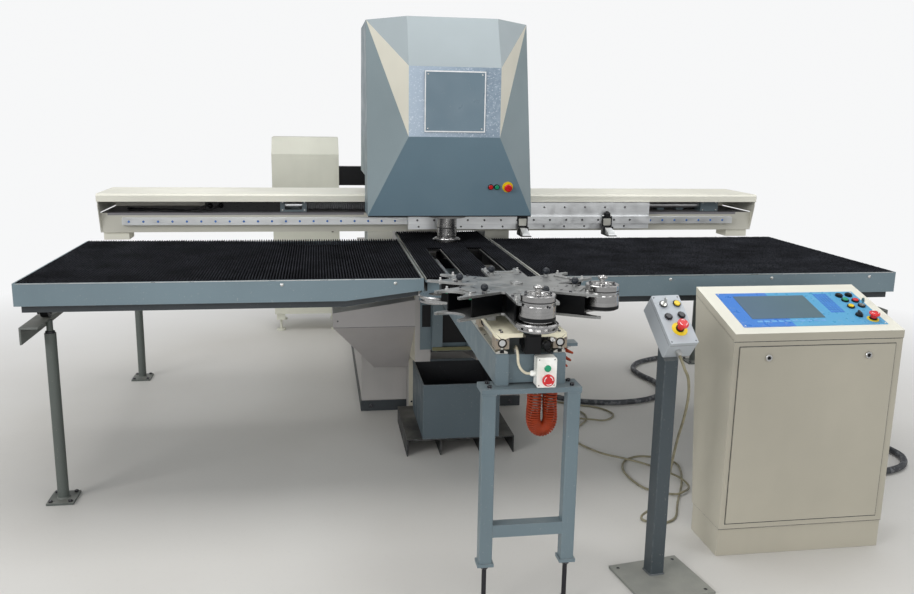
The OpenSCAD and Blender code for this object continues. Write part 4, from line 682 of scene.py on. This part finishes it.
def table_details():
    for node, side in (("left_table", -1), ("right_table", 1)):
        paint_where(node, "aluminium", lambda c, n, s=side: abs(c.x - s * 0.253) < 0.0045 and c.z > 0.93)
        # Painted shade: the upright faces under the table decks in dark metal.
        paint_where(node, DARK, lambda c, n: c.z < 0.9485 and abs(n.z) < 0.99 and -1.04 < c.y < 0.3
                    and abs(c.x) < 1.86)
        paint_where(node, BLACK, lambda c, n, s=side: c.z < 0.877 and abs(n.x) < 0.9 and abs(c.x) > 1.74
                    and (c - Vector((c.x, -0.855 if c.y < -0.4 else 0.02, 0.838))).length < 0.0385)
    # Painted shade: the brush slots of the middle table, and the frame's throat under them, in black.
    paint_where("middle_table", BLACK, lambda c, n: abs(c.x) < 0.237 and c.y > -1.02)
    paint_where("c_frame", BLACK, lambda c, n: abs(c.x) < 0.2 and c.y < 0.0 and 0.75 < c.z < 0.93)
    paint_where("middle_table", "aluminium", lambda c, n: abs(abs(c.x) - 0.2395) < 0.0025 and c.z > 0.969)
    rims = Piece("slot_rims", "machine", "table_paint", "aluminium")
    for x in (-0.1375, -0.0665, 0.0665, 0.1375):
        rims.box(x - 0.0012, x + 0.0012, -1.02, -0.236, 0.9701, 0.973)
    rims.done()
    trim = Piece("table_screws", "cross_axis", "table_paint", ZINC)
    front, dome = -1.056, (7.5, 0, 6.8, 2.5, 4, 4.5, 0.1, 4.8)
    for x in (-0.827, -0.367, 0.829, 1.301, 1.774):
        trim.lathe((x, front, 0.961), FRONT, dome, 12)
    for (side, x), y in product(((-1, -1.85), (1, 1.904)), (-0.98, -0.55, -0.12)):
        trim.lathe((x, y, 0.958), (side, 0, 0), dome, 12)
    trim.done()
    # A thin zinc strip along the tables' front top edges: a painted highlight.
    edge_mark = Piece("edge_highlight", "cross_axis", "table_paint", ZINC)
    for node in ("left_table", "right_table"):
        low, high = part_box(node)
        edge_mark.box(low.x + 0.012, high.x - 0.012, front - 0.0006, front + 0.0006, high.z - 0.003, high.z - 0.0006)
    edge_mark.done()
    nuts = Piece("wheel_nuts", "cross_axis", "table_paint", BOLT)
    for (side, x), y in product(((-1, -1.818), (1, 1.872)), (-0.855, 0.02)):
        nuts.nut((x, y, 0.838), (side, 0, 0), 0.02, 0.007)
        nuts.nut((x - side * 0.056, y, 0.838), (-side, 0, 0), 0.02, 0.007)
    nuts.done(0.0004)


def leg_details():
    bolts = Piece("leg_bolts", "machine", "leg_paint", BOLT, "leg_paint")
    for x, y in product((-1.778, 1.86), (-0.875, 0.88)):
        for dx, dy in product((-0.04, 0.04), (-0.05, 0.05)):
            bolts.nut((x + dx, y + dy, 0.01), Z, 0.019, 0.008)
        bolts.lathe((x, y, 0.01), Z, (28.5, 0, 26.5, 3, 23, 6), 32, 1)
        bolts.lathe((x, y, 0.7368), Z, (19, 0, 19, 8, 17, 10, 13.5, 10), 24)
    bolts.done(0.0006)


brush_tables()
table_details()
leg_details()


# Punch head
def on_head(x):
    """A point on the head's lower front slope, at the height of its buttons."""
    z, low_y, low_z, high_y, high_z = 1.284, -0.134, 1.132, -0.229, 1.535
    return Vector((x, low_y + (z - low_z) / (high_z - low_z) * (high_y - low_y), z))


def head_details():
    facets = (
        ("top_panel", lambda c, n: n.y < -0.8 and abs(n.x) < 0.1 and 1.9 < c.z < 2.117),
        ("pale_panel", lambda c, n: n.y < -0.9 and abs(n.x) < 0.1 and 1.54 < c.z < 1.87),
        ("low_panel", lambda c, n: n.y < -0.8 and n.z < -0.1 and abs(n.x) < 0.1 and c.z < 1.54),
        ("beige_panel", lambda c, n: abs(c.x) > 0.23 and n.y < -0.3 and abs(n.x) > 0.2 and 1.8 < c.z < 1.88),
        ("top_panel", lambda c, n: abs(c.x) > 0.23 and n.y < -0.3 and abs(n.x) > 0.2 and c.z > 1.95),
        # The front flanks take a lighter copy of the head paint: painted light.
        ("flank_panel", lambda c, n: n.y < -0.3 and abs(n.x) > 0.2 and c.z < 1.75))
    for finish, test in facets:
        paint_where("head_cover", finish, lambda c, n, t=test: c.y <= 0.079 and c.z >= 1.13 and t(c, n))
    paint_near("head_cover", "yellow_plate", on_head(0.289), 0.031, FRONT, -0.012)
    for red_green in (0.2, 0.232):
        paint_near("head_cover", BLACK, on_head(red_green), 0.0155, FRONT)
    plate = Piece("head_plate", "machine", "head_paint", "plate_panel", "white_mark", ZINC)
    x0, x1, z0, z1, y = -0.153, 0.153, 1.558, 1.855, -0.2295
    plate.box(x0, x1, y - 0.003, y + 0.004, z0, z1)
    inset, edge = 0.0008, 0.0055
    for a, b, c, d in rim(x0 + inset, x1 - inset, z0 + inset, z1 - inset, edge):
        plate.box(a, b, y - 0.0036, y - 0.0026, c, d, 1)
    for x, z in product((x0 + 0.018, x1 - 0.018), (z0 + 0.018, z1 - 0.018)):
        plate.lathe((x, y - 0.003, z), FRONT, (4, 0, 3.6, 1.2, 0.1, 2), 12, 2)
    plate.done(0.0004)
    lip = Piece("head_lip", "machine", "head_paint", BLACK)
    lip.box(-0.426, 0.426, -0.133, -0.129, 1.1262, 1.1322)
    lip.done()


def punch_details():
    ring = Piece("punch_rings", "ram", "tool_steel", "tool_steel", BLACK, BOLT)
    ring.lathe((0, 0, 0.9965), Z, (60, 0, 66.5, 0, 66, 3, 58, 6, 47.5, 6.5), 64)
    ring.lathe((0, 0, 1.0045), Z, (47.5, 0, 52, 1, 52, 5, 47.5, 6), 64, 1)
    for k in range(6):
        ring.screw(polar(0.061, 60 * k, 0.9955), Z, 0.008, 0.004, 2)
    ring.lathe((0, 0, 1.054), Z, (53, 0, 53.6, 1, 53.6, 3, 53, 4), 64, 1)
    ring.done()
    seat = Piece("die_in_seat", "machine", "tool_steel", "tool_steel")
    seat.lathe((0, 0, 0.976), Z, (44.8, 0, 55.5, 0, 55.5, 7.5, 52, 8.2, 44.8, 8.2, 44.8, 0), 64)
    seat.done()


head_details()
punch_details()


# Cross beam, rail, drive, carriage and clamps
BEAM_TOP, CORE_TOP, SCREW_Y, SCREW_Z = 1.207, 1.1, 0.395, 1.133


def beam_details():
    def on_screw(c):
        return hypot(c.y - SCREW_Y, c.z - SCREW_Z) < 0.0205

    paint_where("x_drive", "carriage_steel", lambda c, n: c.x > -0.8585 and on_screw(c))
    paint_where("x_drive", "changer_paint", lambda c, n: (-0.886 < c.x < -0.739 or 1.589 < c.x < 1.701)
                and not on_screw(c))
    paint_where("cross_beam", "top_panel", lambda c, n: c.z < 0.96 and abs(c.x) < 0.41)
    paint_where("cross_beam", "inside_grey", lambda c, n: c.z > CORE_TOP - 0.012 and n.z > 0.9 and c.y > 0.3)
    paint_where("beam_cover", "inside_grey", lambda c, n: n.z < -0.9 or (n.y < -0.9 and c.y > 0.35)
                or (abs(n.x) > 0.9 and c.x * n.x < 0 and c.z < BEAM_TOP - 0.02))
    # Front faces of the core below the cover in a darker copy of the beam paint: painted shade.
    paint_where("cross_beam", "core_face", lambda c, n: n.y < -0.9 and c.y < 0.31 and c.z < CORE_TOP)
    lips = Piece("core_edges", "cross_axis", "beam_paint", "inside_grey")
    for x0, x1 in ((-1.79, -0.425), (1.2, 1.79)):
        lips.box(x0, x1, 0.299, 0.301, 1.088, 1.1003)
    lips.done()
    caps = Piece("rail_caps", "cross_axis", "rail_steel", "blue_cap")
    x, rail_end, hole_pitch = -1.678, 1.728, 0.075
    while x < rail_end:
        caps.lathe((x, 0.2725, 1.056), FRONT, (6.3, 0, 6.3, 1.2, 5.2, 2, 0.1, 2), 16)
        x += hole_pitch
    caps.done()
    kit = Piece("drive_fittings", "cross_axis", "drive_black", BLACK, ZINC, "changer_paint")
    for x in (-1.262, -1.205):
        kit.lathe((x, SCREW_Y - 0.036, 1.132), (0, -1, 0.2), (14, 0, 14, 18, 10, 22, 10, 30, 6, 34), 12)
    for x, z in product((-0.872, -0.752, 1.604, 1.686), (1.11, 1.152)):
        kit.screw((x, SCREW_Y - 0.0501 if x < 0 else SCREW_Y - 0.0451, z), FRONT, 0.01, 0.006, 1)
    for x in (1.35, 1.47, 0.99):
        kit.box(x, x + 0.045, 0.43, 0.5, CORE_TOP, CORE_TOP + 0.035, 2, 0.002)
    kit.done(0.0006)
    for name, *points in (
            ("motor_cable", -1262, 325, 1140, -1266, 306, 1146, -1300, 300, 1132, -1370, 330, 1112, -1460, 380,
             1108, -1600, 420, 1108, -1720, 460, 1108),
            ("encoder_cable", -1205, 325, 1140, -1210, 300, 1142, -1260, 285, 1118, -1360, 300, 1107, -1500, 345,
             1107, -1700, 400, 1107),
            ("limit_cable", -700, 470, 1106, -600, 500, 1108, -480, 490, 1110, -300, 510, 1106, 0, 520, 1106),
            ("right_cable", 1020, 470, 1135, 1080, 490, 1115, 1220, 500, 1107, 1360, 480, 1113, 1550, 500, 1107,
             1750, 470, 1107)):
        curve_piece(name, smooth(from_mm(*points), 8), 0.009, "cross_axis", "drive_black", BLACK)
    bellows = Piece("screw_bellows", "cross_axis", "drive_black", "bellows")
    profile, x, length, folds = [], -0.7385, 0.36, 30
    for k in range(folds):
        profile += [(0.0195, k * length / folds), (0.0275, (k + 0.5) * length / folds)]
    bellows.turned((x, SCREW_Y, SCREW_Z), X, [(0.0172, 0)] + profile + [(0.0172, length)], 24)
    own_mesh(bellows.done())


def carriage_details():
    screws = Piece("carriage_screws", "carriage", "carriage_steel", BOLT)
    for first, pitch, y, heights, d in ((-0.123, 0.12, 0.248, (1.026, 1.135), 0.0105),
                                        (-0.133, 0.095, 0.226, (1.065,), 0.0115)):
        x = first
        while x < 1.195:
            for z in heights:
                screws.screw((x, y, z), FRONT, d, 0.0085)
            x += pitch
    screws.done()
    parts = Piece("clamp_fittings", "carriage", "clamp_black", "clamp_black", ZINC, "aluminium")
    for x in (0.464, 0.961):
        parts.lathe((x, 0.211, 1.0869), Z, (20, 0, 20, 18, 16, 22, 10, 22, 10, 26, 6, 30), 24)
        parts.box(x - 0.022, x + 0.022, 0.203, 0.2041, 1.035, 1.075, 2, 0.003)
        for s in (-1, 1):
            parts.screw((x + s * 0.021, 0.2105, 1.087), Z, 0.009, 0.007, 1)
            parts.lathe((x + s * 0.0332, 0.19, 1.012), (-s, 0, 0), (6.2, 0, 6.2, 2, 5, 4.2), 16, 1)
    parts.done(0.0004)


beam_details()
carriage_details()


# Tool changer
def star_details():
    top = 1.075
    kit = Piece("star_fittings", "carousel", "star_steel", ZINC, BOLT, "star_steel", "green_pin", "knob")
    for i in range(6):
        turn = Matrix.Rotation(radians(-90 + 60 * i), 3, "Z")
        for s in (-1, 1):
            kit.screw(HUB + turn @ Vector((0.205, s * 0.06, top)), Z, 0.01, 0.005, 1)
            pin = HUB + turn @ Vector((0.262, s * 0.061, top))
            kit.lathe(pin, Z, (6.5, 0, 6.5, 3, 4, 4, 4, 10, 3, 11), 16)
            kit.lathe(pin - Z * 0.008, -Z, (5, 0, 5, 5, 0.1, 6), 16, 3 if i == 5 else 0)
            kit.place(HUB + turn @ Vector((0.168, s * 0.036, top)), turn @ Y, turn @ -X, (0.03, 0.01), 0.0006, 1,
                      0.0045)
        kit.place(HUB + turn @ Vector((0.222, 0, top)), turn @ Y, turn @ -X, (0.07, 0.022), 0.004, 2, 0.004)
    for i in range(6):
        turn = Matrix.Rotation(radians(-75 + 60 * i), 3, "Z")
        ball = [(0.013 * sin(radians(a)), 0.018 - 0.013 * cos(radians(a))) for a in range(15, 180, 15)]
        kit.turned(HUB + turn @ Vector((0.2, 0, top)), Z, ball + [(0.0001, 0.031)], 24, 4)
    kit.lathe(HUB + Z * (top + 0.0059), Z, (21.8, 0, 21.8, 1, 12, 1.6, 11, 0.1), 32, 2)
    kit.done(0.0003)


def cassette_details():
    kit = Piece("cassette_fittings", "carousel", "tool_steel", "tool_steel", BOLT, BLACK)
    for i in (0, 1):
        a = -90 + 60 * i
        centre = HUB + polar(STATION_R, a)
        top = 1.016 + 0.085
        kit.lathe(centre + Z * (top - 0.006), Z, (38.5, 0, 37.5, 4, 34.5, 5.5, 33.5, 1), 48)
        kit.lathe(centre + Z * (top + 0.0228), Z, (16.8, 0, 16, 3, 9, 4.5, 8, 0.5, 0.1, 0.5), 32)
        for k in range(6):
            kit.screw(centre + polar(0.046, 60 * k + 15, top), Z, 0.008, 0.004, 1)
        kit.lathe(centre + Z * (top - 0.022), Z, (56.2, 0, 57.2, 1, 57.2, 2.5, 56.2, 3.5), 64, 2)
        kit.lathe(centre + Z * 1.02, Z, (57.5, 0, 58.3, 1, 58.3, 12, 57.5, 13), 64, 2)
        kit.lathe(centre + Z * (top - 0.0002), Z, (39.5, 0, 43, 0, 43, 0.6, 39.5, 0.6, 39.5, 0), 48, 2)
        for k in range(3):
            out = polar(1, a + 120 * k + 25)
            kit.lathe(centre + out * 0.0552 + Z * (top - 0.034), out, (4.8, 0, 4.8, 2.2, 2, 3), 16, 1)
    kit.done(0.0003)


def slide_details():
    y0 = GUIDE_FRONT
    seals = Piece("bearing_seals", "changer", "tool_steel", BLACK, BOLT)
    ring = (11.2, -0.5, 15, -0.5, 15, 1.6, 13.2, 2.4, 11.2, 2, 11.2, -0.5)
    for s in (-1, 1):
        for y, way in ((y0, -1), (y0 + 0.055, 1), (y0 + 0.298, -1), (y0 + 0.353, 1)):
            seals.lathe((s * 0.0965, y, 0.926), (0, way, 0), ring, 32)
        for dx in (-0.018, 0.018):
            seals.screw((s * 0.0965 + dx, y0, 0.9375), FRONT, 0.006, 0.003, 1)
        for y in (y0 + 0.015, y0 + 0.04, y0 + 0.313, y0 + 0.338):
            seals.screw((s * 0.0965, y, 0.958), Z, 0.01, 0.004, 1)
    seals.done()
    paint_where("changer_slide", "block_paint", lambda c, n: 0.905 < c.z < 0.9435 and abs(c.x) < 0.12)
    paint_where("changer_slide", ZINC, lambda c, n: c.z < 0.9435 and hypot(abs(c.x) - 0.0965, c.z - 0.926) < 0.0102)
    paint_where("changer_slide", "star_steel", lambda c, n: c.z > 0.9581 and abs(c.y + 1.679) < 0.0501)
    motor = Piece("motor_fittings", "changer", "drive_black", BLACK, ZINC)
    front = y0 - 0.024
    motor.box(-0.0235, 0.0235, front - 0.003, front + 0.001, 0.897, 0.953, 0, 0.003)
    motor.lathe((0.044, y0 - 0.0135, 0.923), FRONT, (12.5, 0, 15, 1, 15, 9, 11, 12, 11, 18, 6.5, 20), 16)
    motor.lathe((0.06, y0 + 0.006, 0.931), (0.3, -1, 0.4), (6, 0, 6, 14, 8.5, 15, 8.5, 22, 4, 24), 6, 1)
    motor.lathe((0.052, y0 - 0.004, 0.905), (0.2, -1, -0.2), (9, 0, 9, 12, 6, 13, 6, 20), 12)
    motor.lathe((0.068, y0 - 0.002, 0.934), (0.1, -1, 0.2), (6.5, 0, 5, 14, 4, 20), 8, 1)
    motor.done(0.0005)


def guide_details():
    paint_where("guide_shafts", "aluminium", lambda c, n: c.z < 0.918)
    ends = Piece("guide_ends", "machine", "changer_paint", "changer_paint", BLACK, ZINC)
    y = GUIDE_FRONT
    for s in (-1, 1):
        ends.box(s * 0.095 - 0.0215, s * 0.095 + 0.0215, y - 0.0016, y, 0.7845, 0.8885, 0, 0.005)
        ends.box(s * 0.0965 - 0.0065, s * 0.0965 + 0.0065, y - 0.0004, y + 0.002, 0.8925, 0.9035, 1)
        ends.lathe((s * 0.0965, y + 0.0105, 0.926), FRONT, (9.8, 0, 9.8, 1.2, 8, 2.6, 0.1, 2.6), 24, 2)
        for k, dx in product(range(9), (-0.014, 0.014)):
            ends.screw((s * 0.0965 + dx, y + 0.06 + k * 0.165, 0.895), Z, 0.007, 0.004, 1)
    ends.done(0.0012)


def stand_details():
    paint_where("changer_stand", BOLT, lambda c, n: c.z > 0.7825 or (0.0081 < c.z < 0.1455 and n.z > -0.9)
                or (abs(c.z - 0.785) < 0.006 and abs(n.z) < 0.1))
    kit = Piece("stand_fittings", "machine", "changer_paint", "changer_paint", BOLT)
    y = -1.9275
    for x in (-0.1415, 0.1415):
        kit.box(x - 0.024, x + 0.024, y - 0.024, y + 0.024, 0.761, 0.765, 0, 0.002)
        kit.lathe((x, y, 0.146), Z, (0.1, 0, 16, 0, 16, 10, 14.5, 12), 6, 1)
        kit.lathe((x, y, 0.0079), Z, (21.5, 0, 18, 4, 11, 6, 11, 14, 8.2, 15), 24, 1)
    kit.done(0.001)


def turning_marks(name, body, centre, side, up, steps, radii, along):
    """Three white arcs on a stop head, each of so many steps of 12 degrees."""
    marks = Piece(name, body, "stop_red", "white_mark")
    r0, r1 = radii
    for k, j in product(range(3), range(steps)):
        a, b = (radians(120 * k + 12 * j + d) for d in (0, 12))
        marks.prism([centre + (side * cos(t) + up * sin(t)) * r
                     for r, t in ((r0, a), (r1, a), (r1, b), (r0, b))], along)
    marks.done()


def box_details():
    kit = Piece("switch_box_fittings", "machine", "box_ivory", BOLT, DARK)
    y = GUIDE_FRONT - 0.045
    cx, cz = 0.0435, 0.8363
    for dx, dz in product((-0.0255, 0.0255), (-0.043, 0.043)):
        kit.lathe((cx + dx, y + 0.0052, cz + dz), FRONT, (2.4, 0, 2.4, 2, 0.1, 2.1), 12)
    half_w, half_h, line = 0.0328, 0.0503, 0.0006
    for x0, x1, z0, z1 in rim(cx - half_w, cx + half_w, cz - half_h, cz + half_h, line):
        kit.box(x0, x1, y + 0.0135, y + 0.0145, z0, z1, 1)
    kit.done()
    turning_marks("stop_marks", "changer_stop_body", Vector((0.044, y - 0.0238, cz - 0.02)), X, Z, 6,
                  (0.0125, 0.015), FRONT * 0.0006)


star_details()
cassette_details()
slide_details()
guide_details()
stand_details()
box_details()


# Control desk
def on_desk(x, v, w=0.0):
    """A point on the sloping top: x across, v up the slope, w out of it."""
    return Vector((x, DESK_FRONT + v * cos(DESK_SLOPE) - w * sin(DESK_SLOPE),
                   DESK_FRONT_Z + v * sin(DESK_SLOPE) + w * cos(DESK_SLOPE)))


DESK_UP = (on_desk(0, 1) - on_desk(0, 0)).normalized()
DESK_OUT = (on_desk(0, 0, 1) - on_desk(0, 0)).normalized()


def desk_details():
    face = 0.002
    kit = Piece("desk_top_fittings", "machine", "desk_blue", "glass", "keys_blue", "keys_pale", ZINC)
    kit.place(on_desk(1.073, 0.1865, face), X, DESK_UP, (0.298, 0.178), 0.001, 0, 0.002)
    for row, col in product(range(9), range(5)):
        at = on_desk(1.2725 + col * 0.012, 0.142 + row * 0.017, face)
        kit.place(at, X, DESK_UP, (0.01, 0.0142), 0.0006, 1, 0.0015)
    for col in range(10):
        kit.place(on_desk(0.945 + col * 0.0285, 0.077, face), X, DESK_UP, (0.02, 0.011), 0.0008, 2, 0.0015)
    for x, v in product((0.873, 1.44), (0.048, 0.294)):
        kit.lathe(on_desk(x, v, face), DESK_OUT, (3.5, 0, 3, 1, 0.1, 1.4), 12, 3)
    kit.done()
    paint_where("desk_cabinet", "desk_lid", lambda c, n: n.dot(DESK_OUT) > 0.98)
    paint_where("desk_cabinet", "desk_side", lambda c, n: abs(n.x) > 0.9 and not 0.82 < c.x < 1.48)
    paint_near("desk_panel", "yellow_plate", on_desk(1.407, 0.078, face), 0.0235, DESK_OUT, -0.0005, 0.0022)
    for x, v in ((1.372, 0.265), (1.415, 0.268), (1.377, 0.227), (1.418, 0.222), (1.372, 0.175), (1.421, 0.181),
                 (1.367, 0.108), (1.407, 0.078)):
        paint_near("desk_panel", BLACK, on_desk(x, v, face), 0.0165, DESK_OUT, 0.0004)
    seams_and_shade = Piece("desk_seams_and_shade", "machine", "desk_paint", DARK)
    y = DESK_FRONT
    seams_and_shade.box(0.8115, 1.4895, y - 0.0002, y + 0.004, DESK_FRONT_Z - 0.0345, DESK_FRONT_Z - 0.032)
    seams_and_shade.box(0.8118, 1.4892, y - 0.0003, y + 0.0062, 0.1122, 0.1138)
    # Dark gap round the door, widened on its right and at its bottom by painted shade beside the door.
    left, right, low, high, edge = 0.835, 1.458, 0.138, 0.832, 0.0026
    for x0, x1, z0, z1 in ((left - edge, left, low - 0.006, high + edge), (left, right, high, high + edge),
                           (right, right + 0.005, low - 0.006, high + edge), (left, right, low - 0.0055, low)):
        seams_and_shade.box(x0, x1, y - 0.0003, y + 0.0002, z0, z1)
    for x, way in ((0.812, -1), (1.489, 1)):
        seams_and_shade.place((x, y + 0.175, DESK_FRONT_Z - 0.031 + 0.175 * tan(DESK_SLOPE)), -way * DESK_UP,
                    X.cross(DESK_UP), (0.355, 0.002), 0.0004)
        seams_and_shade.place((x, y + 0.118, 0.113), -way * Y, Z, (0.22, 0.0018), 0.0004)
    seams_and_shade.done()
    locks = Piece("door_locks", "door", "desk_paint", ZINC, BLACK)
    for x in (0.948, 1.349):
        at = Vector((x, y - 0.0093, 0.791))
        locks.lathe(at, FRONT, (13, 0, 13, 0.8, 12, 2, 7.5, 2, 7, 0.6, 0.1, 0.6), 32)
        locks.lathe(at, FRONT, (6.8, 0.6, 6.6, 1.1, 0.1, 1.2), 24, 1)
    locks.done()


def pedestal_details():
    kit = Piece("pedestal_fittings", "machine", "pedestal_paint", BOLT, DARK, ZINC)
    for u, v in product((-0.046, 0.046), (0.009, 0.201)):
        kit.lathe(on_box(u, v, -0.004), BOX_OUT, (2.9, 0, 2.9, 2.5, 0.1, 2.6), 12)
    half, low, high, deep = 0.0541, -0.0001, 0.2101, -0.014
    seam = [on_box(u, v, deep) for u, v in corners(-half, half, low, high, 0)]
    for a, b in zip(seam, seam[1:] + seam[:1]):
        along = (b - a).normalized()
        kit.place((a + b) / 2 - along.cross(BOX_OUT) * 0.0001, along, BOX_OUT, ((b - a).length - 0.009, 0.001),
                  0.0003, 1)
    neck = on_box(-0.01, 0.0, -0.044)
    kit.lathe(neck, BOX_DOWN, (10.5, 0, 10.5, 6, 9.2, 7, 9.2, 9, 10.5, 10, 10.5, 16, 7.5, 22, 5.2, 22.5), 8, 2)
    kit.done()
    paint_near("pedestal_box", "yellow_plate", on_box(0.002, 0.06), 0.0285, BOX_OUT, 0.0, 0.0021)
    for u, v in ((-0.022, 0.168), (0.03, 0.168), (-0.022, 0.113), (0.029, 0.117), (0.002, 0.06)):
        paint_near("pedestal_box", BLACK, on_box(u, v), 0.0165, BOX_OUT, 0.0022)
    paint_near("pedestal_box", ZINC, neck, 0.03, BOX_DOWN, 0.0005)
    paint_where("pedestal_post", "plate_grey", lambda c, n: c.z < 0.0105)
    foot = Piece("pedestal_foot", "machine", "post_paint", "post_paint", BOLT)
    turn = Matrix.Rotation(POST_TURN, 3, "Z")
    for x, y in product((-0.115, 0.115), (-0.163, 0.057)):
        foot.lathe(POST_AT + turn @ Vector((x, y, 0.01)), Z, (6.6, 0, 6, 1, 0.1, 1.2), 16, 1)
    half, leg = 0.027, 0.005
    for k in range(4):
        quarter = turn @ Matrix.Rotation(radians(90 * k), 3, "Z")
        side, along = quarter @ X, quarter @ Y
        base = POST_AT + side * half + Z * 0.01
        bead = [base, base + side * leg, base + Z * leg]
        foot.prism([p - along * half for p in bead], along * 2 * half)
    foot.done(0.0006)


def stop_arrows():
    """White turning marks on the other stop heads."""
    for body, centre, out in (("pedestal_stop_body", on_box(0.002, 0.06, 0.0379), BOX_OUT),
                              ("desk_stop_body", on_desk(1.407, 0.078, 0.0319), DESK_OUT)):
        side = out.cross(Y).normalized()
        turning_marks(body + "_marks", body, centre, side, out.cross(side), 5, (0.0115, 0.0135), out * 0.0005)


desk_details()
pedestal_details()
stop_arrows()


# Frame, chute, bin and rear cabinet
def frame_details():
    paint_where("c_frame", "cream", lambda c, n: abs(abs(c.x) - 0.2) < 0.002 and c.y < 0.12 and 0.4 < c.z < 0.92)
    paint_where("c_frame", "cream", lambda c, n: n.y < -0.9 and -0.2 < c.x < -0.165 and abs(c.y) < 0.002)
    paint_where("c_frame", "head_paint", lambda c, n: c.z > 1.29)
    paint_where("c_frame", DARK, lambda c, n: c.z < 0.0605)
    paint_where("rear_cabinet", BLACK, lambda c, n: c.x > -0.5199)
    kit = Piece("frame_fittings", "machine", "frame_paint", BOLT, "olive", BLACK)
    kit.lathe((-0.184, -0.0002, 0.085), FRONT, (6, 0, 5, 3, 0.1, 3.5), 12)
    for x in (-0.4, -0.15, 0.15, 0.4):
        kit.nut((x, 0.116, 0.03), FRONT, 0.024, 0.01)
    kit.box(-0.118, 0.118, -0.353, -0.3455, 0.47, 0.488, 1, 0.002)
    for x0, x1, z0, z1 in ((-0.076, 0.072, 0.5, 0.645), (-0.166, -0.121, 0.585, 0.7)):
        kit.box(x0, x1, -0.3092, -0.3076, z0, z1, 2)
    kit.done(0.0008)
    fold_shade_and_rivet = Piece("chute_fittings", "machine", "chute_paint", DARK)
    # Painted shade: a thin dark strip along the chute's bend.
    fold_shade_and_rivet.box(-0.6122, -0.2002, -0.3003, -0.299, 0.5872, 0.5892)
    fold_shade_and_rivet.lathe((-0.59, -0.3, 0.622), FRONT, (4.5, 0, 4, 2, 0.1, 3), 12)
    fold_shade_and_rivet.done()


def bin_details():
    # Painted shade: the inside faces of the scrap bin in near black.
    paint_where("scrap_bin", "bin_inside", lambda c, n: c.z > 0.1 and n.x * c.x + n.y * (c.y + 0.352) < 0)
    kit = Piece("bin_rim", "machine", "bin_paint", "bin_paint")
    for strip in rim(-0.192, 0.192, -0.582, -0.123, 0.008):
        kit.box(*strip, 0.351, 0.363)
    kit.done(0.0015)


def cabinet_details():
    kit = Piece("cabinet_fittings", "machine", "cabinet_paint", "cabinet_paint", DARK, BLACK)
    x0, x1, y = -1.01, -0.52, 2.01
    kit.box(x0 + 0.02, x1 - 0.02, y - 0.0025, y + 0.001, 0.215, 1.31, 0, 0.004)
    for k in range(8):
        kit.box(x0 + 0.1, x1 - 0.1, y - 0.0031, y - 0.0024, 0.3 + k * 0.022, 0.308 + k * 0.022, 1)
    kit.box(x1 - 0.06, x1 - 0.045, y - 0.012, y - 0.002, 0.76, 0.88, 2, 0.003)
    kit.done(0.001)


frame_details()
bin_details()
cabinet_details()


# Studio
PAPER = (0.93, 0.935, 0.94, 1)


def area_light(name, at, aim, size, watts):
    data = bpy.data.lights.new(name, "AREA")
    data.shape = "RECTANGLE"
    data.size, data.size_y = size
    data.energy = watts
    lamp = bpy.data.objects.new(name, data)
    scene.collection.objects.link(lamp)
    lamp.location = at
    lamp.rotation_euler = (Vector(aim) - Vector(at)).to_track_quat("-Z", "Y").to_euler()


def add_world():
    """Soft even light, and a white background for the camera, glass and metal."""
    world = bpy.data.worlds.new("studio")
    scene.world = world
    world.use_nodes = True
    s = Nodes(world.node_tree)
    light = s.tree.nodes["Background"]
    s.put(light.inputs["Color"], (0.95, 0.97, 1.0, 1))
    s.put(light.inputs["Strength"], 0.5)
    # Tall soft boxes and dark gaps round the machine, for what metal mirrors
    direction = s.new("SeparateXYZ", (s.new("TexCoord").outputs["Generated"],)).outputs
    turn = s.math("ARCTAN2", direction[0], direction[1])
    level = s.ramp(s.math("COSINE", s.math("MULTIPLY", turn, 5.0)), -0.9, 0.8, 0.25, 1.15)
    path = s.new("LightPath").outputs
    last = light.outputs[0]
    for ray, sky in (("Is Glossy Ray", {"Strength": level}), ("Is Camera Ray", {"Color": PAPER})):
        last = s.new("MixShader", (path[ray], last, s.new("Background", sky).outputs[0])).outputs[0]
    s.put(s.tree.nodes["World Output"].inputs["Surface"], last)


def add_floor():
    """A pale floor that fades into the background away from the machine."""
    mesh = bpy.data.meshes.new("floor")
    mesh.from_pydata([(-40, -40, 0), (40, -40, 0), (40, 40, 0), (-40, 40, 0)], [], [(0, 1, 2, 3)])
    floor = bpy.data.objects.new("floor", mesh)
    scene.collection.objects.link(floor)
    s = Shader("floor", 0.6)
    tone = s.mix(s.blots(0.8, 4, 0.3, 0.7), rgb(206, 203, 197), rgb(214, 212, 207))
    s.colour(s.mix(s.blots(60, 2, 0.6, 0.75, 0.1), tone, rgb(186, 182, 174)))
    away = s.new("VectorMath", (s.place,), operation="LENGTH").outputs["Value"]
    ray = s.new("LightPath").outputs["Is Camera Ray"]
    glow = s.new("Emission", {"Color": PAPER, "Strength": s.ramp(ray, 0, 1, 0.5, 1.0)})
    blend = s.new("MixShader", (s.ramp(away, 2.2, 5.0), s.shader.outputs[0], glow.outputs[0]))
    s.put(s.tree.nodes["Material Output"].inputs["Surface"], blend.outputs[0])
    mesh.materials.append(s.material)
    floor.location.z = -0.0005


add_world()
add_floor()
area_light("key", (-8.0, -6.5, 4.6), (0, 0, 0.9), (4.0, 3.0), 330)
area_light("front", (-1.0, -11.5, 2.4), (0, 0, 0.7), (6.0, 2.4), 200)
area_light("fill", (8.0, -7.5, 5.0), (0.5, 0, 0.9), (4.0, 3.0), 130)
area_light("top", (0.3, -0.6, 5.6), (0.3, -0.6, 0), (6.0, 3.2), 165)
